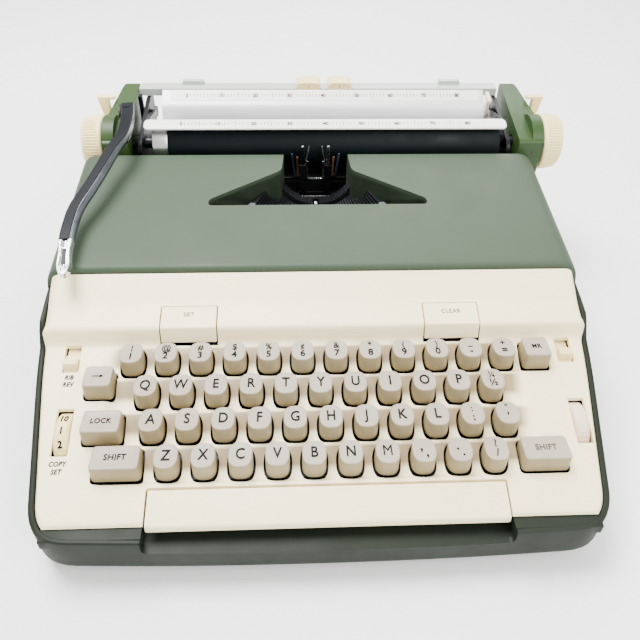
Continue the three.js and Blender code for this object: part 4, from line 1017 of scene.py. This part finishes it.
def build_cover():
    rows = [COVER_FRONT + s for s in (0.0, 0.3, 1.0, 2.2,
            4.0)] + [COVER_FRONT + 4 + i * 6.05 for i in range(1, 18)]
    rows += [COVER_REAR - 1.6, COVER_REAR - 0.5, COVER_REAR]
    lip = {0: 2.6, 1: 1.5, 2: 0.55, 3: 0.12}
    last = len(rows) - 1
    tail = {last: 1.4, last - 1: 0.4}

    def section(y, inset, drop):
        crown = cover_z(y) - inset - drop
        half = HALF - inset
        corner = 12 - inset
        points = [(-half, 78.4)]
        for i in range(9):
            angle = math.pi - math.pi / 2 * i / 8
            points.append((-half + corner + corner * math.cos(angle),
                    crown - corner + corner * math.sin(angle)))
        for i in range(1, 24):
            points.append((-half + corner + (2 * half - 2 * corner) * i / 24, crown))
        for i in range(9):
            angle = math.pi / 2 - math.pi / 2 * i / 8
            points.append((half - corner + corner * math.cos(angle),
                    crown - corner + corner * math.sin(angle)))
        points.append((half, 78.4))
        return points

    outer = [[(BODY_X + x, y, z) for x, z in section(y, 0, lip.get(i, tail.get(i, 0.0)))] for i,
            y in enumerate(rows)]
    inner_rows = [COVER_FRONT + 2.5, COVER_FRONT + 4] + rows[5:-3] + [COVER_REAR - 2.5]
    inner = [[(BODY_X + x, y, z) for x, z in section(y, 2.5, 0)] for y in inner_rows]
    shape = Shape()
    for lines, flip in ((outer, False), (inner, True)):
        count = len(lines[0])
        points = [p for line in lines for p in line]
        faces = []
        for i in range(len(lines) - 1):
            for j in range(count - 1):
                a = i * count + j
                faces.append([a, a + 1, a + 1 + count, a + count])
        faces.append(list(range(count)))
        faces.append([(len(lines) - 1) * count + j for j in range(count)])
        shape.add(points, faces)
    count = len(outer[0])
    start = len(outer) * count

    def border(first, rows_here):
        left = [first + i * count for i in range(rows_here)]
        return left + [i + count - 1 for i in left[::-1]]

    border_out = border(0, len(outer))
    border_in = border(start, len(inner))
    mesh = bpy.data.meshes.new("cover_shell")
    mesh.from_pydata([(x * MM, y * MM, z * MM) for x, y, z in shape.points], [], shape.faces)
    bm = bmesh.new()
    bm.from_mesh(mesh)
    bm.verts.ensure_lookup_table()
    edges = []
    for ids in (border_out, border_in):
        for a, b in zip(ids, ids[1:] + ids[:1]):
            edge = bm.edges.get((bm.verts[a], bm.verts[b]))
            if edge:
                edges.append(edge)
    bmesh.ops.bridge_loops(bm, edges=edges)
    bmesh.ops.recalc_face_normals(bm, faces=bm.faces)
    bm.to_mesh(mesh)
    bm.free()
    cover = link_mesh("cover_shell", mesh)
    mouth = Shape().prism(mouth_outline(), "Z", 60, 130)
    boolean(cover, [link_mesh("mouth", mouth.mesh("mouth"))])
    finish_piece(cover, SAGE, "machine", bevel=0.7, segments=3, angle=40, slot="cover_sage",
            replaces=["ribbon_cover"])
    lips = Shape()
    outline = mouth_outline(0.2)
    wide = mouth_outline(1.6)
    chosen = [i for i, (x, y) in enumerate(outline) if y > COVER_REAR - 51 and y < COVER_REAR - 3]
    runs, run = [], []
    for i in chosen:
        if run and i != run[-1] + 1:
            runs.append(run)
            run = []
        run.append(i)
    runs.append(run)
    for run in runs:
        rings = []
        for i in run:
            (x0, y0), (x1, y1) = outline[i], wide[i]
            rings.append([(x0, y0, cover_z(y0) - 1.0), (x1, y1, cover_z(y1) - 1.0),
                    (x1, y1, cover_z(y1) - 8.5), (x0, y0, cover_z(y0) - 8.5)])
        if len(rings) > 1:
            lips.rings(rings)
    # The lips take the lighter sage copy: painted light on walls that sit in shade.
    piece("cover_mouth_lips", lips, LIP_LIT_GREEN, "machine", bevel=0.3, segments=2, slot="cover_sage")


# ---------- carriage ----------
def build_platen():
    rubber, bare = Shape(), Shape()
    y, z = PLATEN_Y, PLATEN_Z
    rubber.lathe([(0.1, -112), (15.6, -112), (16.0, -111.4), (16.0, 125.4), (15.6, 126), (0.1, 126)], "X",
            (y, z), 72)
    bare.lathe([(0.1, -123), (15.0, -123), (15.5, -122.5), (15.5, -113), (15.1, -112.2), (0.1, -112.2)],
            "X", (y, z), 64)
    end = high("platen").x
    shaft = Shape()
    shaft.lathe([(0.1, -end), (3.7, -end), (4.0, -end + 0.4), (4.0, end - 0.4), (3.7, end), (0.1, end)],
            "X", (y, z), 32)
    piece("platen_rubber", rubber, PLATEN, "platen", slot="platen_rubber", replaces=["platen"])
    piece("platen_collar", bare, BRIGHT, "platen", slot="bright_steel")
    piece("platen_shaft", shaft, DARK, "platen", slot="bright_steel")


def build_knobs():
    ribs = 60
    outer = high("knob_right").x

    def wave(angle, along):
        inward = outer - abs(along)
        share = smooth((inward - 2.2) / 1.0) * smooth((12.6 - inward) / 1.0)
        return -0.75 * share * (0.5 + 0.5 * math.cos(ribs * angle)) ** 3

    for sign, name in ((-1, "knob_left"), (1, "knob_right")):
        shape = Shape()
        profile = [(4.4, 15.0), (17.4, 15.0), (18.7, 14.8), (19.5, 14.3), (19.9, 13.6), (19.95, 12.8),
                (19.9, 12.2), (19.85, 11),
                   (19.7, 9.0), (19.5, 7.0), (19.1, 4.6), (18.8, 3.4), (18.6, 2.6), (18.2, 1.6),
                           (17.2, 0.6), (15.6, 0.1),
                   (14.2, 0.15), (13.4, 0.8), (12.2, 1.5), (5, 1.7), (0.1, 1.7)]
        placed = [(r, sign * (outer - a)) for r, a in profile]
        shape.lathe(placed, "X", (PLATEN_Y, PLATEN_Z), 360, wave)
        piece(name + "_ribbed", shape, IVORY, "platen", slot="ivory_plastic", angle=50, replaces=[name])
    for sign in (-1, 1):
        cap = Shape().lathe([(0.1, sign * (outer - 1.6)), (5, sign * (outer - 1.6)),
                (5.6, sign * (outer - 1.1)), (4.9, sign * (outer - 0.7)),
                             (0.1, sign * (outer - 0.5))],
                            "X", (PLATEN_Y, PLATEN_Z), 32)
        piece("knob_screw_left" if sign < 0 else "knob_screw_right", cap, BRIGHT, "platen",
                slot="bright_steel")


# The printed scales: 10 characters to the inch.
SCALE_START = -101.6
SCALE_STEP = 2.54
LEVER_PATH = ((1.5, 3, 0), (4.2, -15, -0.7), (4.5, -36, -2.8), (-0.3, -51, -5.8), (-4.4, -68, -9.3),
              (-9.4, -85.5, -13.3), (-14.6, -101.7, -17.3), (-15.9, -117.8, -20.8),
                      (-15.3, -131.6, -23.8),
              (-14, -143.6, -26.3), (-12.5, -154, -28.3))


def build_return_lever():
    """A black enamelled strip with one bright bevelled side, ending in a plated tip with a slot."""
    hub = Vector((-141.0, PLATEN_Y + 2, PLATEN_Z + 26))
    path = catmull([hub + Vector(p) for p in LEVER_PATH], 8)
    cut = len(path) - 19
    rings, bright = [], []
    for i, here in enumerate(path[:cut + 1]):
        along = (path[i + 1] - path[max(0, i - 1)]).normalized()
        right = Vector((0, 0, 1)).cross(along).normalized() * (1 if along.y < 0 else -1)
        lift = Vector((0, 0, 1))
        bevel = 0.35 + 1.9 * smooth((i - 4) / 30)
        edge = 4.4 - bevel
        outline = [(-4.3, -1.9), (edge - 0.1, -1.9), (edge - 0.1, 1.9), (edge - 0.5, 2.3), (-3.7, 2.3),
                (-4.3, 1.7)]
        rings.append([here + right * a + lift * b for a, b in outline])
        strip = [(edge - 0.05, -2.2), (4.3, -2.2), (4.4, -1.4), (4.3, -0.6), (edge + 0.1, 1.9),
                (edge - 0.05, 1.9)]
        bright.append([here + right * a + lift * b for a, b in strip])
    arm = Shape().rings(rings)
    piece("return_lever_arm", arm, NAVY, "return_lever", slot="lever_black", replaces=["return_lever"],
            angle=40, bevel=0.25)
    piece("return_lever_side", Shape().rings(bright), LEVER_SIDE, "return_lever", slot="lever_black",
            angle=50)
    tip, slot = [], []
    tail = path[cut:]
    for i, here in enumerate(tail):
        t = i / (len(tail) - 1)
        width = 4.3 * math.sqrt(max(0.03, 1 - max(0.0,
                (t - 0.6) / 0.4) ** 2)) * (1 - 0.12 * math.sin(math.pi * min(1, t * 1.6)))
        along = (tail[min(i + 1, len(tail) - 1)] - tail[max(0, i - 1)]).normalized()
        right = Vector((0, 0, 1)).cross(along).normalized()
        outline = [(-1, -1.6), (-0.94, 0.8), (-0.72, 1.9), (-0.3, 1.9), (-0.12, 1.1), (0.3, 1.1),
                (0.5, 1.9), (0.8, 1.9),
                   (0.96, 0.8), (1, -1.6)]
        tip.append([here + right * (-a * width) + Vector((0, 0, b)) for a, b in outline])
        if 0.2 < t < 0.72:
            slot.append([here + right * (-a * width) + Vector((0, 0, b)) for a, b in
                         ((-0.16, 0.9), (-0.16, 1.25), (0.32, 1.25), (0.32, 0.9))])
    piece("return_lever_tip", Shape().rings(tip), CHROME, "return_lever", slot="lever_black", angle=45)
    piece("return_lever_slot", Shape().rings(slot), BLACK, "return_lever", slot="lever_black")
    boss = Shape()
    foot = 115.6
    boss.lathe([(0.1, foot), (5.0, foot), (5.2, foot + 0.4), (5.2, hub.z - 2.4), (4.3, hub.z - 2.2),
            (4.3, hub.z + 1.5), (0.1, hub.z + 1.5)],
               "Z", (hub.x, hub.y), 40)
    piece("return_lever_boss", boss, DARK, "return_lever", slot="lever_black")
    screw = Shape().lathe([(0.1, hub.z + 2.0), (2.6, hub.z + 2.0), (2.3, hub.z + 2.46),
            (0.1, hub.z + 2.48)], "Z", (hub.x + 1.5, hub.y - 2), 28)
    piece("return_lever_screw", screw, NAVY, "return_lever", slot="lever_black")


def tick_row(shape, x0, spacing, count, line):
    """Scale marks across a slanting strip; line(t) gives (y, z) from 0, near, to 1, far."""
    for i in range(count + 1):
        if i % 10 == 0:
            continue
        start, reach = (0.2, 0.72) if i % 5 == 0 else (0.34, 0.6)
        x = x0 + spacing * i
        (ya, za), (yb, zb) = line(start), line(reach)
        bar = [(x - 0.16, ya, za), (x + 0.16, ya, za), (x + 0.16, yb, zb), (x - 0.16, yb, zb)]
        shape.rings([[(a, b, c + lift) for a, b, c in bar] for lift in (0.07, -0.2)])


def build_bail():
    lo, hi = low("paper_bail"), high("paper_bail")
    y0, y1 = PLATEN_Y - 13.5, PLATEN_Y - 4
    z0, z1 = PLATEN_Z + 16.6, PLATEN_Z + 19.8
    section = rounded([(y0, z0 - 0.4), (y0, z0 + 0.9), (y1, z1), (y1, z1 - 1.6)], 0.4, 3)
    middle = ((y0 + y1) / 2, (z0 + z1) / 2)
    rings = []
    for inset, share in ((0, 0.45), (0.5, 0.72), (1.6, 0.92), (3.2, 1.0)):
        rings.append([(lo.x + inset, middle[0] + (y - middle[0]) * share,
                middle[1] + (z - middle[1]) * share) for y, z in section])
    rings += [[(lo.x + hi.x - x, y, z) for x, y, z in ring] for ring in rings[::-1]]
    strip = Shape().rings(rings)
    piece("paper_bail_strip", strip, WHITE, "paper_bail", slot="bail_white", replaces=["paper_bail"],
            angle=40)
    arms = Shape()
    pivot = (hi.y - 4, PLATEN_Z + 7.5)
    for x in (lo.x, hi.x - 2):
        outline = rounded([(y1 - 4, z1 - 4.0), (y1 - 1, z1 - 0.6), (pivot[0], pivot[1] + 2.2),
                (pivot[0] + 1.5, pivot[1]),
                           (pivot[0], pivot[1] - 2.2)], 1.0, 3)
        arms.prism(outline, "X", x, x + 2)
        arms.tube(1.8, 3.9, x - 0.05, x + 2.05, *pivot)
    piece("paper_bail_arms", arms, DARK, "paper_bail", slot="bail_white", bevel=0.2, segments=2)
    slope = (z1 - z0 - 0.9) / (y1 - y0)

    def line(t):
        return (y1 - t * (y1 - y0), z1 - t * (z1 - z0 - 0.9))

    ticks = Shape()
    tick_row(ticks, SCALE_START, SCALE_STEP, 80, line)
    piece("paper_bail_ticks", ticks, LEGEND, "paper_bail", slot="bail_white")
    words = [text(str(10 * i), (SCALE_START + 10 * SCALE_STEP * i, (y0 + y1) / 2, (z0 + 0.9 + z1) / 2),
            4.3, tilt=math.atan(slope),
                  depth=0.3, bold=0.03)
             for i in range(9)]
    finish_piece(join_meshes("paper_bail_numbers", words), LEGEND, "paper_bail", slot="bail_white")


def build_paper_table():
    lo, hi = low("paper_table"), high("paper_table")
    y0 = lo.y
    face = [(y0, lo.z), (y0, PLATEN_Z), (y0 + 2, PLATEN_Z + 8.5), (y0 + 5, PLATEN_Z + 15.5),
            (y0 + 16, PLATEN_Z + 23.5)]
    line = rounded([(y, z, r) for (y, z), r in zip(face, (0, 5, 4, 2.5, 0))], 0, 6)
    back = [(y + 1.3, z - 0.75) for y, z in line[::-1]]
    plate = Shape().prism(line + back, "X", lo.x, hi.x)
    piece("paper_table_plate", plate, SILVER, "carriage", slot="table_silver", replaces=["paper_table"],
            bevel=0.25, segments=2)
    near, far = face[3], face[4]

    def drop(t):
        return (far[0] - 0.6 + (near[0] - far[0]) * t * 0.62,
                far[1] - 0.55 + (near[1] - far[1]) * t * 0.62)

    strip = Shape()
    (ya, za), (yb, zb) = drop(0.0), drop(1.0)
    strip.prism([(yb, zb - 0.1), (yb, zb + 0.3), (ya, za + 0.3), (ya, za - 0.1)], "X", lo.x + 6, hi.x - 4)
    piece("paper_table_scale", strip, WHITE, "carriage", slot="table_silver", bevel=0.12, segments=2)
    ticks = Shape()
    tick_row(ticks, SCALE_START, SCALE_STEP, 80, lambda t: (drop(t)[0], drop(t)[1] + 0.36))
    piece("paper_table_ticks", ticks, LEGEND, "carriage", slot="table_silver")
    tilt = math.atan2(far[1] - near[1], far[0] - near[0])
    y, z = drop(0.5)
    words = [text(str(10 * i), (SCALE_START + 10 * SCALE_STEP * i, y, z + 0.38), 4.0, tilt=tilt,
            depth=0.2, bold=0.03) for i in range(9)]
    finish_piece(join_meshes("paper_table_numbers", words), LEGEND, "carriage", slot="table_silver")


# ---------- type basket and ribbon ----------
SQUARE = rectangle(-1, 1, -1, 1)
SEGMENT_R = 30
SEGMENT_Y = PLATEN_Y - 36
HEAD_R = SEGMENT_R + 35.5 * math.sin(math.pi / 6)
HEAD_Y = SEGMENT_Y - 35.5 * math.cos(math.pi / 6)


def fan_point(angle, radius, y):
    return Vector((TYPE_X + radius * math.sin(angle), y, PLATEN_Z - 0.5 - radius * math.cos(angle)))


def fan_ring(angle, r0, r1, y0, y1):
    return [fan_point(angle, r, y) for r, y in rectangle(r0, r1, y0, y1)]


def add_type_bar(shape, heads, stripes, angle):
    start, end = fan_point(angle, SEGMENT_R, SEGMENT_Y), fan_point(angle, HEAD_R, HEAD_Y)
    along = (end - start).normalized()
    side = Vector((math.cos(angle), 0, math.sin(angle)))
    lift = side.cross(along).normalized()
    for a, b, half_w, half_h, target in ((0, 0.95, 0.55, 1.5, shape), (0.86, 1.05, 1.45, 2.3, heads)):
        p, q = start.lerp(end, a), start.lerp(end, b)
        rings = [[c + side * s * half_w + lift * t * half_h for s, t in SQUARE] for c in (p, q)]
        target.rings(rings)
    p, q = start.lerp(end, 0.9), start.lerp(end, 1.03)
    for offset in (-1.0, 1.0):
        rings = [[c + side * (offset + s * 0.22) + lift * (t * 2.36) for s, t in SQUARE] for c in (p, q)]
        stripes.rings(rings)


def build_type_basket():
    bars, heads, stripes = Shape(), Shape(), Shape()
    each_side = 21
    for sign in (-1, 1):
        for i in range(each_side):
            add_type_bar(bars, heads, stripes, sign * (0.14 + (1.28 - 0.14) * i / (each_side - 1)))
    # The fan's bars take dark steel, unlike the bright typing bar: painted shade for the dark basket
    # interior.
    piece("type_bar_fan", bars, DARK, "type_basket", slot="bright_steel", bevel=0.12, segments=1,
            replaces=["type_bars"])
    piece("type_heads", heads, GREY_HEAD, "type_basket", slot="bright_steel", bevel=0.25, segments=2)
    piece("type_faces", stripes, WHITE, "type_basket", slot="bright_steel")
    cushion = Shape()
    angles = [-1.3 + 2.6 * i / 60 for i in range(61)]
    cushion.rings([fan_ring(a, HEAD_R + 3.2, HEAD_R + 5.8, HEAD_Y - 3, HEAD_Y + 3) for a in angles])
    piece("type_rest", cushion, FELT, "type_basket", slot="dark_steel", bevel=0.3, segments=2)
    segment = Shape()
    front, rear = SEGMENT_Y - 3.9, SEGMENT_Y + 3.9
    rings = [fan_ring(-1.4 + 2.8 * i / 70, 26.2 if i % 2 else 27.6, 38.8, front, rear) for i in range(71)]
    for part in (rings[:34], rings[37:]):
        segment.rings(part)
    segment.rings([fan_ring(a, 36.4, 38.8, front, rear) for a in (-0.09, 0, 0.09)])
    piece("type_segment_ring", segment, DARK, "type_basket", slot="dark_steel", bevel=0.2, segments=2,
            replaces=["type_segment"])
    single, head, faces = Shape(), Shape(), Shape()
    add_type_bar(single, head, faces, 0.0)
    seg = fan_point(0, SEGMENT_R, SEGMENT_Y)
    single.lathe([(0.1, TYPE_X - 1), (2.4, TYPE_X - 1), (2.4, TYPE_X + 1), (0.1, TYPE_X + 1)], "X",
            (seg.y, seg.z), 24)
    piece("typing_bar_arm", single, BRIGHT, "typing_bar", slot="bright_steel", bevel=0.12, segments=1,
            replaces=["typing_bar"])
    piece("typing_bar_head", head, GREY_HEAD, "typing_bar", slot="bright_steel", bevel=0.25, segments=2)
    piece("typing_bar_faces", faces, WHITE, "typing_bar", slot="bright_steel")


def build_ribbon_guide():
    """The fork that lifts the ribbon: a black frame, two bright posts and thin leaves beside them."""
    lo, hi = low("ribbon_guide"), high("ribbon_guide")
    black, chrome, copper, blue, wire = Shape(), Shape(), Shape(), Shape(), Shape()
    y0, y1 = lo.y, hi.y
    black.box(lo.x, hi.x, y0, y1, lo.z, lo.z + 3)
    outer_x, inner_x, foot_z, top_z = 6.4, 5.0, 81.5, 96.5
    fork = [(-outer_x, foot_z, 2), (outer_x, foot_z, 2), (outer_x, top_z, 0.6), (inner_x, top_z, 0.6),
            (inner_x, foot_z + 1.4, 1),
            (-inner_x, foot_z + 1.4, 1), (-inner_x, top_z, 0.6), (-outer_x, top_z, 0.6)]
    chrome.prism([(TYPE_X + a, b) for a, b in rounded(fork, 0.5, 4)], "Y", y0 + 0.1, y0 + 1.0)
    black.box(TYPE_X - outer_x, TYPE_X + outer_x, y0 + 1.1, y1 - 0.2, lo.z + 2, foot_z + 1)
    for sign in (-1, 1):
        x = TYPE_X + sign * 9
        black.prism(rounded(rectangle(x - 2.1, x + 2.1, lo.z + 1, 93), 0.6, 3), "Y", y0, y1)
        chrome.prism(rounded(rectangle(x - 1.2, x + 1.2, 92, hi.z), 1.1, 4), "Y", y0 + 0.4, y1 - 0.3)
        for target, away, lean, top in ((copper, 3.4, 0.6, 99.5), (blue, 5.6, 2.2, 102)):
            foot, head = x + sign * away, x + sign * (away + lean)
            target.prism([(foot - 0.7, 84), (foot + 0.7, 84), (head + 0.7, top), (head - 0.7, top)], "Y",
                    y0 + 0.5, y1 - 0.9)
        black.box(min(x, x + sign * 7), max(x, x + sign * 7), y0 + 0.6, y1 - 0.6, 82, 86)
        start = Vector((TYPE_X + sign * 7.4, y1 - 1.0, 92))
        end = Vector((TYPE_X + sign * 4.6, y1 - 0.5, hi.z - 0.6))
        wire.sweep([start.lerp(end, i / 4) for i in range(5)], circle(0.4, 10), up=(0, 1, 0))
    piece("ribbon_guide_bracket", black, BLACK, "machine", slot="dark_steel", bevel=0.25, segments=2,
            replaces=["ribbon_guide"])
    piece("ribbon_guide_posts", chrome, CHROME, "machine", slot="dark_steel", bevel=0.2, segments=2)
    piece("ribbon_guide_leaves", copper, COPPER, "machine", slot="dark_steel", bevel=0.1, segments=2)
    piece("ribbon_guide_springs", blue, BLUED, "machine", slot="dark_steel", bevel=0.1, segments=2)
    piece("ribbon_guide_wires", wire, BRIGHT, "machine", slot="dark_steel")


# ---------- controls ----------
def wheel_grip(angle, _along):
    """Fine teeth on three arcs of a thumb wheel's edge."""
    if math.sin(3 * angle + 1.2) > 0.2:
        return -0.35 * (0.5 + 0.5 * math.cos(36 * angle))
    return 0.0


def build_controls():
    for name in ("power_switch", "ribbon_switch"):
        from_node(name, name, IVORY, 0.45, 3, "ivory_plastic")
        x, y = (low(name).x + high(name).x) / 2, SLOT_Y[name]
        front, rear = y - 9, y + 11.5
        tongue = Shape().prism([(front, panel_z(front) - 4.6), (rear, panel_z(rear) - 4.6),
                (rear, panel_z(rear) - 3.6),
                                (front, panel_z(front) - 3.6)], "X", x - 3.9, x + 3.9)
        piece(name + "_tongue", tongue, IVORY, name, slot="ivory_plastic")
    lo, hi = low("power_switch"), high("power_switch")
    y = hi.y - 1.9
    mark = Shape().box(lo.x + 1.3, hi.x - 1.3, y - 1.6, y + 1.0, panel_z(y) - 1.8, panel_z(y) - 0.55)
    piece("power_switch_mark", mark, RED, "power_switch", slot="ivory_plastic")
    for name, marks in (("copy_set_wheel", ("2", "1", "10")), ("touch_wheel", ())):
        lo, hi = low(name), high(name)
        cy, cz, r = (lo.y + hi.y) / 2, (lo.z + hi.z) / 2, (hi.z - lo.z) / 2
        rim = [(0.1, lo.x), (r - 0.8, lo.x), (r, lo.x + 0.8), (r, hi.x - 0.8), (r - 0.8, hi.x), (0.1, hi.x)]
        wheel = Shape().lathe(rim, "X", (cy, cz), 96, wheel_grip)
        piece(name + "_disc", wheel, IVORY if marks else PINK, name, slot="ivory_plastic", angle=50,
                replaces=[name])
        words = []
        for i, mark in enumerate(marks):
            angle = math.pi / 2 + TILT - 0.5 * (i - 1)
            place = ((lo.x + hi.x) / 2, cy + (r + 0.06) * math.cos(angle),
                    cz + (r + 0.06) * math.sin(angle))
            words.append(text(mark, place, 5.4, tilt=angle - math.pi / 2, depth=0.4, bold=0.03))
        if words:
            finish_piece(join_meshes(name + "_numbers", words), LEGEND, name, slot="ivory_plastic")
    for name, words in (("tab_set_key", "SET"), ("tab_clear_key", "CLEAR")):
        from_node(name, name, CREAM, 0.6, 3, "panel_cream")
        lo, hi = low(name), high(name)
        tilt = math.atan2(4, 15)
        place = ((lo.x + hi.x) / 2, RIDGE_TOP_Y - 7, panel_z(RIDGE_Y) + 12.62)
        mark = join_meshes(name + "_legend", [text(words, place, 4.0, tilt=tilt, depth=0.5, spacing=1.15,
                bold=0.012)])
        finish_piece(mark, PALE_LEGEND, name, slot="panel_cream")


def build_plain_nodes():
    """Pieces whose CAD shape is right get rounded edges and a finish."""
    for sign in ("left", "right"):
        from_node("end_cover_" + sign, "carriage", END_GREEN, 1.6, 4, "end_green")
        name = "margin_stop_" + sign
        lo, hi = low(name), high(name)
        saddle = Shape()
        middle, base = (lo.x + hi.x) / 2, hi.z - 5.2
        arch = rounded([(lo.x, base, 0), (hi.x, base, 0), (hi.x, hi.z - 0.6, 3.5),
                (middle, hi.z + 0.55, 5), (lo.x, hi.z - 0.6, 3.5)], 0, 6)
        arch = [(a, min(b, hi.z)) for a, b in arch]
        saddle.prism(arch, "Y", lo.y, hi.y)
        for y0, y1 in ((lo.y, lo.y + 1.2), (hi.y - 1.2, hi.y)):
            saddle.box(lo.x + 0.4, hi.x - 0.4, y0, y1, lo.z, base + 1)
        piece(name + "_saddle", saddle, IVORY, name, slot="ivory_plastic", bevel=0.5, segments=3,
                replaces=[name])
        line = Shape().box(middle - 0.2, middle + 0.2, lo.y - 0.04, lo.y + 0.4, base + 0.8, hi.z - 1.4)
        piece(name + "_line", line, RED, name, slot="ivory_plastic")
        from_node("carriage_release_" + sign, "carriage_release_" + sign, IVORY, 0.8, 3, "ivory_plastic")
        from_node("ribbon_spool_" + sign, "ribbon_spool_" + sign, DARK, 0.3, 2, "dark_steel")
        for end in ("front", "rear"):
            from_node(f"foot_{end}_{sign}", "machine", RUBBER, 0.8, 3, "black_rubber")
    for node, body, material, bevel, slot in (
            ("chassis", "machine", STEEL, 0.3, "frame_steel"),
                    ("carriage_rail", "machine", STEEL, 0.4, "frame_steel"),
            ("key_shaft", "machine", BRIGHT, 0.3, "bright_steel"),
                    ("motor", "machine", DARK, 0.8, "dark_steel"),
            ("drive_belt", "machine", RUBBER, 0.2, "black_rubber"),
                    ("power_inlet", "machine", BLACK, 0.4, "black_plastic"),
            ("power_roller", "power_roller", RUBBER, 0.4, "black_rubber"),
            ("mainspring_drum", "mainspring_drum", BRIGHT, 0.5, "bright_steel"),
            ("carriage_frame", "carriage", BLACK, 0.4, "frame_steel"),
                    ("margin_rail", "carriage", RAIL_GREY, 0.5, "bright_steel"),
            ("paper_release_lever", "paper_release_lever", PINK, 0.5, "ivory_plastic"),
            ("line_space_lever", "line_space_lever", NAVY, 0.5, "lever_black")):
        from_node(node, body, material, bevel, 3, slot)


def add_floor():
    floor = Shape().add([(-3000, -3000, 0), (3000, -3000, 0), (3000, 3000, 0), (-3000, 3000, 0)],
            [[0, 1, 2, 3]])
    obj = link_mesh("floor", floor.mesh("floor"))
    n = Nodes("floor_paper")
    n.colour(n.ramp(n.noise(2, 2), 0.3, 0.7, (0.86, 0.86, 0.85), (0.9, 0.9, 0.89)))
    n.roughness(n.spread(n.noise(5, 2), 0.75, 0.85))
    obj.data.materials.append(n.material)


add_camera()
add_studio()
add_floor()
build_keys()
build_panel()
build_panel_marks()
build_case()
build_space_bar()
build_cover()
build_platen()
build_knobs()
build_return_lever()
build_bail()
build_paper_table()
build_type_basket()
build_ribbon_guide()
build_controls()
build_plain_nodes()
